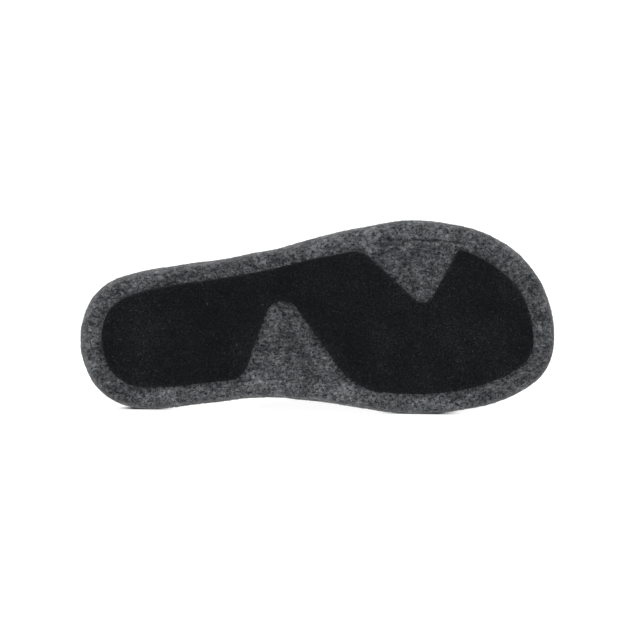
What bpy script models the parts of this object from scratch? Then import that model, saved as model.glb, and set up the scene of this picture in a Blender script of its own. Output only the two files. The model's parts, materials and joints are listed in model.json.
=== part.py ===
"""A right-foot felt mule at real size, lying on its medial side.

The shoe is modelled standing: +X runs from heel to toe, +Y to the medial side and +Z up,
with the floor at Z = 0. An empty then lays it on its medial side, so that the sole faces -Y
and its medial edge and the side of the upper touch the floor.
"""

import math
from collections import namedtuple

import bmesh
import bpy
import numpy as np
from mathutils import Matrix

# Sizes, in millimetres unless a name says otherwise
MM = 0.001
LENGTH = 270.0
GAP = 0.3
WALL = 4.0
INSOLE_THICK = 3.0
PAD_THICK = 1.5

# Ground line of the tread, its starts and ends as shares of the length
TOE_SPRING = 6.0
TOE_SPRING_START = 0.74
HEEL_ROCKER = 1.5
HEEL_ROCKER_END = 0.09

# Hollow under the medial arch, and the arch support above it
ARCH_LIFT = 3.0
ARCH_SUPPORT = 3.0
ARCH_ALONG = 0.44
ARCH_HALF_LENGTH = 30.0
ARCH_INNER = -2.0
ARCH_OUTER = 40.0

# Rim of the sole, where the upper stands and inside which the insole lies
RIM_WIDTH = 6.4
REBATE_SLOPE = 0.4
DISH_RUN = 13.0
DISH_STEPS = (0.0, 0.33, 0.67, 1.0)
UPPER_INSET = 2.4

# Rounding of the insole's edge, as shares of its thickness and of the dish
INSOLE_ROUND = 0.2
INSOLE_LIP = 0.03

# Rear edge of the upper, as shares of the length
THROAT_ALONG = 0.53
SIDE_ALONG_LATERAL = 0.37
SIDE_ALONG_MEDIAL = 0.33
COLLAR_SWEEP = 0.85
COLLAR_ROUND = 1.2

# How finely the forms are divided
SIDE_STEPS = 40
SOLE_COLUMNS = 8
UPPER_STEPS = 24
UPPER_COLUMNS = 32
PAD_EDGE_STEP = 5.0
PAD_BEND_STEP = 9.0
FILLET_STEP = math.radians(15.0)
CURVE_SAMPLES = 400
SHARP_ANGLE = math.radians(40.0)
BEVEL_ANGLE = math.radians(55.0)

# Search for the resting pose
YAW_LIMIT = math.radians(6.0)
ROLL_UPRIGHT = math.radians(-90.0)
ROLL_OVER = math.radians(-130.0)
SEARCH_STEPS = 40

# Outline of the sole from below: share of the length from heel to toe,
# place of its middle, plus to the medial side, and half of its width
OutlineRow = namedtuple("OutlineRow", "along middle half_width")
OUTLINE = (
    OutlineRow(0.00, 6.8, None),
    OutlineRow(0.02, 7.6, 21.6),
    OutlineRow(0.05, 8.2, 30.8),
    OutlineRow(0.10, 8.4, 37.3),
    OutlineRow(0.20, 5.8, 40.2),
    OutlineRow(0.30, 2.2, 40.3),
    OutlineRow(0.40, -1.4, 41.7),
    OutlineRow(0.50, -4.0, 46.5),
    OutlineRow(0.60, -4.9, 51.8),
    OutlineRow(0.70, -5.4, 54.9),
    OutlineRow(0.80, -4.7, 52.5),
    OutlineRow(0.90, -2.8, 43.6),
    OutlineRow(0.95, -0.3, 33.8),
    OutlineRow(0.98, 2.6, 23.2),
    OutlineRow(1.00, 6.3, None),
)

# Height of the sole's rim above the ground line, and how far its seat is dished
HeightRow = namedtuple("HeightRow", "along rim dish")
HEIGHTS = (
    HeightRow(0.00, 21.0, 4.5),
    HeightRow(0.15, 21.0, 4.5),
    HeightRow(0.35, 19.5, 3.8),
    HeightRow(0.50, 17.5, 2.6),
    HeightRow(0.70, 15.0, 1.6),
    HeightRow(0.85, 14.5, 1.2),
    HeightRow(1.00, 14.5, 1.2),
)

# Side of the sole from the crease under its edge to its top:
# distance in from the outline, share of the rim's height, and depth of the crease
EdgeRow = namedtuple("EdgeRow", "inset rise crease")
EDGE = (
    EdgeRow(11.0, 0.00, 0.0),
    EdgeRow(9.9, 0.00, 0.5),
    EdgeRow(8.4, 0.00, 0.0),
    EdgeRow(4.8, 0.01, 0.0),
    EdgeRow(2.8, 0.04, 0.0),
    EdgeRow(1.3, 0.12, 0.0),
    EdgeRow(0.4, 0.25, 0.0),
    EdgeRow(0.0, 0.46, 0.0),
    EdgeRow(0.1, 0.78, 0.0),
    EdgeRow(0.9, 0.93, 0.0),
    EdgeRow(2.4, 1.00, 0.0),
)

# Sections of the upper: height of its ridge above the rim, how far the ridge lies to the
# medial side of the middle, how upright the walls are, how flat the crown is (2 is an ellipse)
# and how far the walls bulge half way up
SectionRow = namedtuple("SectionRow", "along ridge shift wall crown bulge")
SECTIONS = (
    SectionRow(0.30, 74.0, 8.0, 3.2, 2.0, 3.0),
    SectionRow(0.42, 68.0, 8.0, 3.2, 2.0, 3.0),
    SectionRow(0.53, 60.0, 8.0, 3.1, 2.0, 2.8),
    SectionRow(0.62, 50.0, 7.0, 2.7, 2.1, 1.4),
    SectionRow(0.72, 41.0, 4.5, 2.4, 2.2, 0.2),
    SectionRow(0.82, 35.0, 3.5, 2.3, 2.3, 0.0),
    SectionRow(0.90, 29.0, 2.5, 2.3, 2.3, 0.0),
    SectionRow(0.95, 23.0, 1.0, 2.2, 2.2, 0.0),
    SectionRow(1.00, None, 0.0, 2.0, 2.0, 0.0),
)

# Felt rim left bare around the pad, on the lateral and on the medial side
BareRow = namedtuple("BareRow", "along lateral medial")
BARE_RIM = (
    BareRow(0.00, 11.9, 11.9),
    BareRow(0.06, 11.6, 12.6),
    BareRow(0.15, 10.9, 12.0),
    BareRow(0.25, 10.6, 11.6),
    BareRow(0.45, 10.7, 10.7),
    BareRow(0.58, 12.2, 10.6),
    BareRow(0.72, 12.9, 10.9),
    BareRow(0.80, 12.8, 11.3),
    BareRow(0.90, 14.1, 11.9),
    BareRow(0.97, 13.1, 12.2),
    BareRow(1.00, 12.2, 11.6),
)

# Corners of the two notches in the pad, in millimetres from the heel and from the middle,
# with their rounding: a corner with no place across lies on the pad's rim
NotchCorner = namedtuple("NotchCorner", "along across radius")
FLEX_NOTCH = (
    NotchCorner(159.6, None, 11.0),
    NotchCorner(196.5, -9.7, 6.4),
    NotchCorner(215.2, None, 2.2),
)
ARCH_NOTCH = (
    NotchCorner(155.4, None, 38.0),
    NotchCorner(112.2, -26.0, 10.0),
    NotchCorner(92.2, None, 12.0),
)
NOTCH_LEAD = 0.02

# Finish: linear colour and roughness
Finish = namedtuple("Finish", "colour roughness")
FINISHES = {
    "sole": Finish((0.075, 0.077, 0.081), 0.95),
    "upper": Finish((0.078, 0.080, 0.084), 0.95),
    "insole": Finish((0.085, 0.087, 0.091), 0.95),
    "outsole_pad": Finish((0.011, 0.012, 0.013), 0.8),
}


def column(table, name):
    """Return one named column of a table."""
    return [getattr(row, name) for row in table]


def smooth_step(value):
    """Ease from 0 to 1 as value runs from 0 to 1."""
    share = np.clip(value, 0.0, 1.0)
    return share * share * (3.0 - 2.0 * share)


def spline(at, knots, values):
    """Read a smooth curve through the knots, as cubic pieces with three-point slopes."""
    at = np.asarray(at, dtype=float)
    knots = np.asarray(knots, dtype=float)
    values = np.asarray(values, dtype=float)
    slopes = np.gradient(values, knots)
    left = np.clip(np.searchsorted(knots, at) - 1, 0, len(knots) - 2)
    width = knots[left + 1] - knots[left]
    share = np.clip((at - knots[left]) / width, 0.0, 1.0)
    start = (1.0 + 2.0 * share) * (1.0 - share) ** 2 * values[left]
    end = share ** 2 * (3.0 - 2.0 * share) * values[left + 1]
    bend = share * (1.0 - share) ** 2 * slopes[left] - share ** 2 * (1.0 - share) * slopes[left + 1]
    return start + end + bend * width


def turn_of(along):
    """Turn a share of the length into an angle that closes in evenly on both ends."""
    return np.arccos(1.0 - 2.0 * np.asarray(along, dtype=float))


def plan_turn(x):
    """Return the angle along the shoe of a place given by its distance from the heel."""
    return turn_of(np.clip(x / LENGTH, 0.0, 1.0))


def fold(turn):
    """Return the angle along the shoe, 0 to pi, of an angle right around its outline."""
    return np.where(turn > math.pi, 2.0 * math.pi - turn, turn)


def read(table, name, turn):
    """Read a column of a table at an angle along the shoe."""
    return spline(turn, turn_of(column(table, "along")), column(table, name))


def read_rounded(table, name, turn):
    """Read a column that closes to nothing, as an ellipse does, at the ends left empty in it."""
    turns = turn_of(column(table, "along"))
    fullness = []
    for angle, value in zip(turns, column(table, name)):
        fullness.append(None if value is None else value / math.sin(angle))
    if fullness[0] is None:
        fullness[0] = fullness[1]
    if fullness[-1] is None:
        fullness[-1] = fullness[-2]
    return spline(turn, turns, fullness) * np.sin(turn)


def outline(turn):
    """Return the sole's outline, the lateral side for 0 to pi and the medial for pi to 2 pi."""
    turn = np.mod(turn, 2.0 * math.pi)
    folded = fold(turn)
    side = np.where(turn > math.pi, 1.0, -1.0)
    along = LENGTH * (1.0 - np.cos(folded)) / 2.0
    across = read(OUTLINE, "middle", folded) + side * read_rounded(OUTLINE, "half_width", folded)
    return np.stack([along, across], axis=-1)


def inset_outline(turn, inset):
    """Return the outline moved in by a distance, square to its edge."""
    step = 1e-3
    tangent = outline(turn + step) - outline(turn - step)
    tangent /= np.linalg.norm(tangent, axis=-1, keepdims=True)
    inward = np.stack([-tangent[..., 1], tangent[..., 0]], axis=-1)
    return outline(turn) + inward * np.asarray(inset)[..., None]


def ground(x):
    """Return the tread's height: flat, with a toe spring and a slight rocker at the heel."""
    along = np.asarray(x) / LENGTH
    toe = np.clip((along - TOE_SPRING_START) / (1.0 - TOE_SPRING_START), 0.0, 1.0)
    heel = np.clip(1.0 - along / HEEL_ROCKER_END, 0.0, 1.0)
    return TOE_SPRING * toe ** 2 + HEEL_ROCKER * heel ** 2


def arch(x, y):
    """Return the share of the medial arch at a place, 0 away from it and 1 at its edge."""
    length = np.clip(1.0 - ((x - ARCH_ALONG * LENGTH) / ARCH_HALF_LENGTH) ** 2, 0.0, 1.0)
    return length ** 2 * smooth_step((y - ARCH_INNER) / (ARCH_OUTER - ARCH_INNER))


def sole_bottom(x, y):
    """Return the height of the felt under the sole."""
    return ground(x) + PAD_THICK + GAP + ARCH_LIFT * arch(x, y)


def rim_top(x):
    """Return the height of the sole's rim."""
    return ground(x) + read(HEIGHTS, "rim", plan_turn(x))


def seat(x, y, inset):
    """Return the height of the dished seat inside the rim, where the insole lies."""
    dish = read(HEIGHTS, "dish", plan_turn(x))
    depth = dish * smooth_step((inset - RIM_WIDTH) / DISH_RUN) - ARCH_SUPPORT * arch(x, y)
    return rim_top(x) - INSOLE_THICK - GAP - depth


def ring(inset, height):
    """Return a closed ring of points: heel, lateral side, toe, medial side."""
    turns = np.arange(2 * SIDE_STEPS) * math.pi / SIDE_STEPS
    plan = inset_outline(turns, np.full(len(turns), inset))
    return np.column_stack([plan, height(plan[:, 0], plan[:, 1])])


def make_material(name, finish):
    """Return a plain material."""
    material = bpy.data.materials.new(name)
    material.use_nodes = True
    shader = material.node_tree.nodes["Principled BSDF"]
    shader.inputs["Base Color"].default_value = (*finish.colour, 1.0)
    shader.inputs["Roughness"].default_value = finish.roughness
    shader.inputs["Metallic"].default_value = 0.0
    return material


def make_object(mesh, collection, parent):
    """Put a mesh in the scene as one smooth piece of the shoe."""
    mesh.materials.append(make_material(mesh.name + "_finish", FINISHES[mesh.name]))
    mesh.shade_smooth()
    mesh.set_sharp_from_angle(angle=SHARP_ANGLE)
    piece = bpy.data.objects.new(mesh.name, mesh)
    piece.parent = parent
    collection.objects.link(piece)
    return piece


def to_mesh(name, shape):
    """Turn a bmesh in millimetres into a mesh in metres."""
    bmesh.ops.scale(shape, vec=(MM, MM, MM), verts=shape.verts)
    mesh = bpy.data.meshes.new(name)
    shape.to_mesh(mesh)
    shape.free()
    return mesh


def bridge(shape, low, high):
    """Join two rings of vertices with faces."""
    count = len(low)
    for i in range(count):
        after = (i + 1) % count
        shape.faces.new((low[i], low[after], high[after], high[i]))


def join_rows(shape, near, far):
    """Join two rows of a lattice with faces, where an end row is a single vertex."""
    for j in range(max(len(near), len(far)) - 1):
        corners = []
        for row, place in ((near, j), (near, j + 1), (far, j + 1), (far, j)):
            vert = row[min(place, len(row) - 1)]
            if vert not in corners:
                corners.append(vert)
        shape.faces.new(corners)


def fill_ring(shape, verts, height):
    """Close a ring with a lattice from its lateral to its medial side, at the given heights."""
    rows = [[verts[0]]]
    for i in range(1, SIDE_STEPS):
        lateral = verts[i]
        medial = verts[-i]
        row = [lateral]
        for j in range(1, SOLE_COLUMNS):
            place = lateral.co.lerp(medial.co, j / SOLE_COLUMNS)
            place.z = float(height(place.x, place.y))
            row.append(shape.verts.new(place))
        row.append(medial)
        rows.append(row)
    rows.append([verts[SIDE_STEPS]])
    for near, far in zip(rows, rows[1:]):
        join_rows(shape, near, far)


def solid_from_rings(name, rings, low_height, high_height):
    """Build a closed solid from rings, its first and last ring filled as lattices."""
    shape = bmesh.new()
    loops = [[shape.verts.new(point) for point in points] for points in rings]
    for low, high in zip(loops, loops[1:]):
        bridge(shape, low, high)
    fill_ring(shape, loops[0], low_height)
    fill_ring(shape, loops[-1], high_height)
    bmesh.ops.recalc_face_normals(shape, faces=shape.faces)
    return to_mesh(name, shape)


def edge_ring(row):
    """Return one ring of the sole's side."""
    def height(x, y):
        low = sole_bottom(x, y)
        return low + row.rise * (rim_top(x) - low) + row.crease
    return ring(row.inset, height)


def seat_ring(inset, lift):
    """Return a ring that follows the seat at a height above it."""
    return ring(inset, lambda x, y: seat(x, y, inset) + lift)


def sole_mesh():
    """Build the felt sole: crease, rolled edge, rim, rebate for the insole and dished seat."""
    rings = [edge_ring(row) for row in EDGE]
    rings.append(ring(RIM_WIDTH, lambda x, y: rim_top(x)))
    insets = [RIM_WIDTH + REBATE_SLOPE + DISH_RUN * step for step in DISH_STEPS]
    rings += [seat_ring(inset, 0.0) for inset in insets]
    return solid_from_rings("sole", rings, sole_bottom, lambda x, y: seat(x, y, insets[-1]))


def insole_mesh():
    """Build the felt insole, a layer of even thickness that lies in the sole's seat."""
    edge = RIM_WIDTH + REBATE_SLOPE + GAP
    insets = [edge + DISH_RUN * max(step, INSOLE_LIP) for step in DISH_STEPS]
    top = GAP + INSOLE_THICK
    rings = [seat_ring(inset, GAP) for inset in reversed(insets)]
    rings.append(seat_ring(edge, GAP + INSOLE_ROUND * INSOLE_THICK))
    rings.append(seat_ring(edge, top - INSOLE_ROUND * INSOLE_THICK))
    rings += [seat_ring(inset, top) for inset in insets]
    inner = insets[-1]
    return solid_from_rings(
        "insole",
        rings,
        lambda x, y: seat(x, y, inner) + GAP,
        lambda x, y: seat(x, y, inner) + top,
    )


def collar_along(rise, medial):
    """Return where the upper's rear edge lies, from its rise and its share to the medial side."""
    side = SIDE_ALONG_LATERAL + (SIDE_ALONG_MEDIAL - SIDE_ALONG_LATERAL) * medial
    return side + (THROAT_ALONG - side) * rise ** COLLAR_SWEEP


def upper_point(turn, arc):
    """Return a point of the upper's outside, at an angle along and an angle over the foot."""
    lateral = inset_outline(turn, np.full_like(turn, UPPER_INSET))
    medial = inset_outline(2.0 * math.pi - turn, np.full_like(turn, UPPER_INSET))
    side = np.sign(np.cos(arc))
    across = 0.5 - 0.5 * side * np.abs(np.cos(arc)) ** (2.0 / read(SECTIONS, "crown", turn))
    rise = np.abs(np.sin(arc)) ** (2.0 / read(SECTIONS, "wall", turn))
    plan = lateral + (medial - lateral) * across[..., None]
    bulge = read(SECTIONS, "bulge", turn) * np.sin(math.pi * rise) * side
    x = plan[..., 0]
    y = plan[..., 1] + read(SECTIONS, "shift", turn) * rise ** 2 - bulge
    z = rim_top(x) + GAP + read_rounded(SECTIONS, "ridge", turn) * rise
    return np.stack([x, y, z], axis=-1)


def upper_mesh():
    """Build the outside of the upper as an open sheet from its rear edge to the toe."""
    arc = math.pi * np.arange(UPPER_COLUMNS + 1) / UPPER_COLUMNS
    start = turn_of(collar_along(np.sin(arc), 0.5 - 0.5 * np.cos(arc)))
    share = np.arange(UPPER_STEPS + 1)[:, None] / UPPER_STEPS
    turn = start + (math.pi - start) * share
    points = upper_point(turn, np.broadcast_to(arc, turn.shape))
    shape = bmesh.new()
    rows = [[shape.verts.new(point) for point in row] for row in points[:-1]]
    rows.append([shape.verts.new(points[-1].mean(axis=0))])
    for near, far in zip(rows, rows[1:]):
        join_rows(shape, near, far)
    bmesh.ops.recalc_face_normals(shape, faces=shape.faces)
    return to_mesh("upper", shape)


def add_wall(piece, thickness):
    """Give an open sheet its wall, on the inner side."""
    wall = piece.modifiers.new("wall", "SOLIDIFY")
    wall.thickness = thickness * MM
    wall.offset = -1.0
    wall.use_even_offset = True


def round_edges(piece, width):
    """Round the sharp edges of a piece."""
    edge = piece.modifiers.new("edge", "BEVEL")
    edge.width = width * MM
    edge.segments = 2
    edge.limit_method = "ANGLE"
    edge.angle_limit = BEVEL_ANGLE


def pad_rim(turn):
    """Return the pad's rim before its notches, inside the bare felt."""
    turn = np.mod(turn, 2.0 * math.pi)
    lateral = read(BARE_RIM, "lateral", fold(turn))
    medial = read(BARE_RIM, "medial", fold(turn))
    return inset_outline(turn, np.where(turn > math.pi, medial, lateral))


def rim_turn_at(x, medial):
    """Return the angle at which the pad's rim reaches a distance from the heel on one side."""
    turns = np.linspace(0.0, math.pi, CURVE_SAMPLES)
    if medial:
        turns = 2.0 * math.pi - turns
    return float(np.interp(x, pad_rim(turns)[:, 0], turns))


def rim_stretch(start, end):
    """Return points along the pad's rim between two angles, evenly spaced and without its ends."""
    turns = np.linspace(start, end, CURVE_SAMPLES)
    steps = np.linalg.norm(np.diff(pad_rim(turns), axis=0), axis=1)
    length = np.concatenate([[0.0], np.cumsum(steps)])
    count = max(2, round(length[-1] / PAD_EDGE_STEP))
    places = np.linspace(0.0, length[-1], count + 1)[1:-1]
    return list(pad_rim(np.interp(places, length, turns)))


def fillet(before, corner, after, radius):
    """Return the points of an arc that rounds a corner."""
    back = (before - corner) / np.linalg.norm(before - corner)
    on = (after - corner) / np.linalg.norm(after - corner)
    half = math.acos(float(np.clip(back @ on, -1.0, 1.0))) / 2.0
    bisector = (back + on) / np.linalg.norm(back + on)
    centre = corner + bisector * radius / math.sin(half)
    first = corner + back * radius / math.tan(half) - centre
    last = corner + on * radius / math.tan(half) - centre
    sweep = math.atan2(first[0] * last[1] - first[1] * last[0], float(first @ last))
    angles = np.linspace(0.0, sweep, max(2, math.ceil(abs(sweep) / FILLET_STEP)) + 1)
    aside = np.array([-first[1], first[0]])
    return [centre + math.cos(angle) * first + math.sin(angle) * aside for angle in angles]


def notch_points(notch, medial):
    """Return the rounded outline of one notch, and the angles on the rim where it begins and ends."""
    turns = [rim_turn_at(corner.along, medial) for corner in notch]
    path = [pad_rim(turns[0] - NOTCH_LEAD)]
    for corner, turn in zip(notch, turns):
        path.append(pad_rim(turn) if corner.across is None else np.array([corner.along, corner.across]))
    path.append(pad_rim(turns[-1] + NOTCH_LEAD))
    points = []
    for i, corner in enumerate(notch):
        points += fillet(path[i], path[i + 1], path[i + 2], corner.radius)
    return points, rim_turn_at(points[0][0], medial), rim_turn_at(points[-1][0], medial)


def pad_outline():
    """Return the pad's outline: its rim, with a flex notch and an arch notch cut in."""
    flex, flex_start, flex_end = notch_points(FLEX_NOTCH, False)
    hollow, hollow_start, hollow_end = notch_points(ARCH_NOTCH, True)
    heel = rim_stretch(hollow_end, 2.0 * math.pi + flex_start)
    toe = rim_stretch(flex_end, hollow_start)
    return heel + flex + toe + hollow


def pad_mesh():
    """Build the pad's tread as an open sheet, facing down, that bends up with toe and heel."""
    shape = bmesh.new()
    shape.faces.new([shape.verts.new((x, y, 0.0)) for x, y in reversed(pad_outline())])
    bends = list(np.arange(TOE_SPRING_START * LENGTH, LENGTH, PAD_BEND_STEP))
    bends += list(np.arange(HEEL_ROCKER_END * LENGTH, 0.0, -PAD_BEND_STEP))
    for x in bends:
        parts = shape.verts[:] + shape.edges[:] + shape.faces[:]
        bmesh.ops.bisect_plane(shape, geom=parts, plane_co=(x, 0.0, 0.0), plane_no=(1.0, 0.0, 0.0))
    bmesh.ops.triangulate(shape, faces=shape.faces)
    for vert in shape.verts:
        vert.co.z = float(ground(vert.co.x))
    return to_mesh("outsole_pad", shape)


def finished_points(piece):
    """Return a piece's finished vertices, as rows in metres."""
    finished = piece.evaluated_get(bpy.context.evaluated_depsgraph_get())
    mesh = finished.to_mesh()
    points = np.empty(len(mesh.vertices) * 3)
    mesh.vertices.foreach_get("co", points)
    finished.to_mesh_clear()
    return points.reshape(-1, 3)


def laying_turn(yaw, roll):
    """Return the turn that yaws the shoe on its sole and then rolls it on to its medial side."""
    return Matrix.Rotation(roll, 3, "X") @ Matrix.Rotation(yaw, 3, "Z")


def laid_down(points, yaw, roll):
    """Return points turned by the laying turn."""
    return points @ np.array(laying_turn(yaw, roll)).T


def level_yaw(sole, roll):
    """Return the yaw at which heel and ball of the sole's medial edge are level."""
    low, high = -YAW_LIMIT, YAW_LIMIT
    heel = sole[:, 0] < 0.5 * LENGTH * MM
    for _ in range(SEARCH_STEPS):
        yaw = (low + high) / 2.0
        z = laid_down(sole, yaw, roll)[:, 2]
        if z[heel].min() > z[~heel].min():
            high = yaw
        else:
            low = yaw
    return yaw


def resting_angles(sole, upper):
    """Return the yaw and roll at which the sole's medial edge and the upper lie on one plane."""
    upright, over = ROLL_UPRIGHT, ROLL_OVER
    for _ in range(SEARCH_STEPS):
        roll = (upright + over) / 2.0
        yaw = level_yaw(sole, roll)
        if laid_down(sole, yaw, roll)[:, 2].min() < laid_down(upper, yaw, roll)[:, 2].min():
            upright = roll
        else:
            over = roll
    return yaw, roll


def lay_on_side(shoe, pieces):
    """Turn the shoe on to its medial side, resting on the floor around the origin."""
    forms = {piece.name: finished_points(piece) for piece in pieces}
    yaw, roll = resting_angles(forms["sole"], forms["upper"])
    points = laid_down(np.concatenate(list(forms.values())), yaw, roll)
    low = points.min(axis=0)
    high = points.max(axis=0)
    place = (-(low[0] + high[0]) / 2.0, -(low[1] + high[1]) / 2.0, -low[2])
    shoe.matrix_world = Matrix.Translation(place) @ laying_turn(yaw, roll).to_4x4()


def main():
    """Build the shoe and lay it down."""
    for old in list(bpy.data.objects):
        bpy.data.objects.remove(old, do_unlink=True)
    collection = bpy.data.collections.new("felt_mule")
    bpy.context.scene.collection.children.link(collection)
    shoe = bpy.data.objects.new("lying_shoe", None)
    collection.objects.link(shoe)
    sole = make_object(sole_mesh(), collection, shoe)
    insole = make_object(insole_mesh(), collection, shoe)
    upper = make_object(upper_mesh(), collection, shoe)
    add_wall(upper, WALL)
    round_edges(upper, COLLAR_ROUND)
    pad = make_object(pad_mesh(), collection, shoe)
    add_wall(pad, PAD_THICK)
    lay_on_side(shoe, (sole, insole, upper, pad))


main()
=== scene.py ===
"""Looks of the felt mule: heathered felt, tread pad, studio light and camera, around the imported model.

The form is worked out for the standing shoe, in millimetres: +X from heel to toe, +Y to the medial
side, +Z up, tread at 0. A lying pose read from the frame carries it to the model's frame, in metres.
"""

import json
import logging
import math
from dataclasses import dataclass, field
from enum import Enum
from typing import Any, NamedTuple, Optional, Sequence, Union

import bpy
import numpy as np
from mathutils import Matrix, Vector
from numpy.typing import NDArray


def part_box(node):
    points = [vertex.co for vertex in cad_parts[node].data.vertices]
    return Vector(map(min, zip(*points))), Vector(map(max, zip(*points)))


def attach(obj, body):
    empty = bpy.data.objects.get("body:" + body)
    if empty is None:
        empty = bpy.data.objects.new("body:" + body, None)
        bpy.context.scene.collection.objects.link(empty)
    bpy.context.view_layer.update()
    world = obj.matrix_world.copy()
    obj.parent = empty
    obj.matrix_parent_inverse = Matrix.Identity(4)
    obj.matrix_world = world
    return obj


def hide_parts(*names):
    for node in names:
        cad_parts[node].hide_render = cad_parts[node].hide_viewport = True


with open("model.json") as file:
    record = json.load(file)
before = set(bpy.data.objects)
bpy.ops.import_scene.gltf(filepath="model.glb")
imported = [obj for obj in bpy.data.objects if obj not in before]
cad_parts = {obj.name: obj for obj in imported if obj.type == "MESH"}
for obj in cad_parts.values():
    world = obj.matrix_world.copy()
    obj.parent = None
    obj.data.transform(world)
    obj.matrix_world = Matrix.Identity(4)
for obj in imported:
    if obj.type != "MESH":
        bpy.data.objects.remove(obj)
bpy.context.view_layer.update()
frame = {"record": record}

Array = NDArray[np.float64]
Index = NDArray[np.int64]
Triple = tuple[float, float, float]
Paint = tuple[float, float, float, float]

LOG = logging.getLogger("felt_mule")
BODY = "root"
MM = 0.001
TO_MM = 1000.0
FULL_TURN = 2.0 * math.pi
TINY = 1e-8

# Turn that levels heel and ball on the floor
YAW = math.radians(-0.709)

# Points closer than this, in millimetres, are sewn together
SEAM_SIZE = 1e-4

# Power that turns the eye's scale of brightness to light
EYE_POWER = 2.2

# Flatness of a stretch's bell, and how far past its ends a crease's path is read
BELL_FLATNESS = 4
CREASE_OVERRUN = 1.5

# Share of a row of steps, at either end, that a pull crowds
PULLED_PART = 0.25

# Places of a Mix node's colour sockets, which share their names with its other sockets
MIX_FIRST = 6
MIX_SECOND = 7
MIX_OUT = 2


class Piece(Enum):
    """A CAD node that a dressed piece stands for, with the record's slot of its finish."""

    SOLE = ("sole", "felt_sole")
    UPPER = ("upper", "felt_upper")
    INSOLE = ("insole", "felt_insole")
    PAD = ("outsole_pad", "tread_pad")

    @property
    def node(self) -> str:
        """Name of the CAD node."""
        return self.value[0]

    @property
    def slot(self) -> str:
        """Name of the record's material slot."""
        return self.value[1]


class Side(Enum):
    """A side of the foot, with its sign across."""

    LATERAL = -1.0
    MEDIAL = 1.0


class OutlineRow(NamedTuple):
    """Sole outline: share of the length, place of the middle, and half of the width."""

    along: float
    middle: float
    half_width: Optional[float]


class HeightRow(NamedTuple):
    """Height of the sole's rim above the ground line, and depth of its dished seat."""

    along: float
    rim: float
    dish: float


class EdgeRow(NamedTuple):
    """Side of the sole: distance in from the outline, and share of the rim's height."""

    inset: float
    rise: float


class SectionRow(NamedTuple):
    """Upper: ridge height, its shift to the medial side, upright walls, flat crown and bulge."""

    along: float
    ridge: Optional[float]
    shift: float
    wall: float
    crown: float
    bulge: float


class BareRow(NamedTuple):
    """Felt left bare around the tread pad, on either side."""

    along: float
    lateral: float
    medial: float


class NotchCorner(NamedTuple):
    """Corner of a notch in the pad: place, and rounding. With no place across it is on the rim."""

    along: float
    across: Optional[float]
    radius: float


class CreaseRow(NamedTuple):
    """Crease of the upper: where it crosses the ridge, how far it bows back at the sides, where
    over the foot it lies (0 lateral, 1 medial), half its reach, its depth and its width."""

    along: float
    bow: float
    over: float
    reach: float
    depth: float
    width: float


class StretchRow(NamedTuple):
    """Stretch of the shoe's edge: its middle along the shoe, half its length, side and strength."""

    along: float
    reach: float
    side: Side
    strength: float

    def at(self, x: Array, y: Array) -> Array:
        """Return its strength at places.

        Args:
            x: Places along.
            y: Places across.

        Returns:
            The strength times a flat-topped bell along, on its own side of the middle and 0 on the
            other.
        """
        middle = OUTLINE.read("middle", turn_of(x / Last.length))
        bell = np.exp(-(((x - self.along) / self.reach) ** BELL_FLATNESS))
        return self.strength * bell * (self.side.value * (y - middle) > 0.0)


class EdgeCreaseRow(NamedTuple):
    """Crease under the sole's edge: its middle along the shoe, half its length, side and strength,
    how far in from the outline it ends, and how much further in its middle lies."""

    along: float
    reach: float
    side: Side
    strength: float
    inset: float
    sag: float

    def across(self, x: Array, inset: Array) -> Array:
        """Return how far in from the crease's path places lie, the path a parabola along the shoe."""
        share = np.clip((x - self.along) / self.reach, -CREASE_OVERRUN, CREASE_OVERRUN)
        return inset - self.inset - self.sag * (1.0 - share ** 2)

    def at(self, x: Array, y: Array) -> Array:
        """Return its strength along the shoe."""
        return StretchRow(self.along, self.reach, self.side, self.strength).at(x, y)


class SpotRow(NamedTuple):
    """Soft round spot: place along and across, half lengths both ways, and strength."""

    along: float
    across: float
    long: float
    wide: float
    strength: float

    def at(self, x: Array, y: Array) -> Array:
        """Return its strength at places.

        Args:
            x: Places along.
            y: Places across.

        Returns:
            The strength times a bell of the distance from its middle.
        """
        along = (x - self.along) / self.long
        across = (y - self.across) / self.wide
        return self.strength * np.exp(-along ** 2 - across ** 2)


class ShadeRow(NamedTuple):
    """Painted shade on the floor where the shoe rests, in the model's frame: its middle along and half
    its length, then across where it begins, is full, begins to fade and ends."""

    along: float
    reach: float
    start: float
    full: float
    fading: float
    end: float


def smooth_step(value: Array) -> Array:
    """Ease from 0 to 1 as the value runs from 0 to 1, as 3 s squared less 2 s cubed."""
    share = np.clip(value, 0.0, 1.0)
    return share * share * (3.0 - 2.0 * share)


def spline(at: Array, knots: Array, values: Array) -> Array:
    """Read a smooth curve through knots: cubic pieces with three-point slopes.

    Args:
        at: Places to read.
        knots: Rising places of the knots.
        values: Values at the knots.

    Returns:
        The curve's values, shaped as the places.
    """
    at = np.asarray(at, dtype=float)
    slopes = np.gradient(values, knots)
    left = np.clip(np.searchsorted(knots, at) - 1, 0, len(knots) - 2)
    width = knots[left + 1] - knots[left]
    share = np.clip((at - knots[left]) / width, 0.0, 1.0)
    start = (1.0 + 2.0 * share) * (1.0 - share) ** 2 * values[left]
    end = share ** 2 * (3.0 - 2.0 * share) * values[left + 1]
    lean = share * (1.0 - share) ** 2 * slopes[left] - share ** 2 * (1.0 - share) * slopes[left + 1]
    return start + end + lean * width


def turn_of(along: Union[float, Array]) -> Array:
    """Turn a share of the length into an angle that closes in evenly on both ends."""
    return np.arccos(1.0 - 2.0 * np.clip(along, 0.0, 1.0))


def fold(turn: Array) -> Array:
    """Return the angle along the shoe, 0 to pi, of an angle right around its outline."""
    return np.where(turn > math.pi, FULL_TURN - turn, turn)


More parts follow.
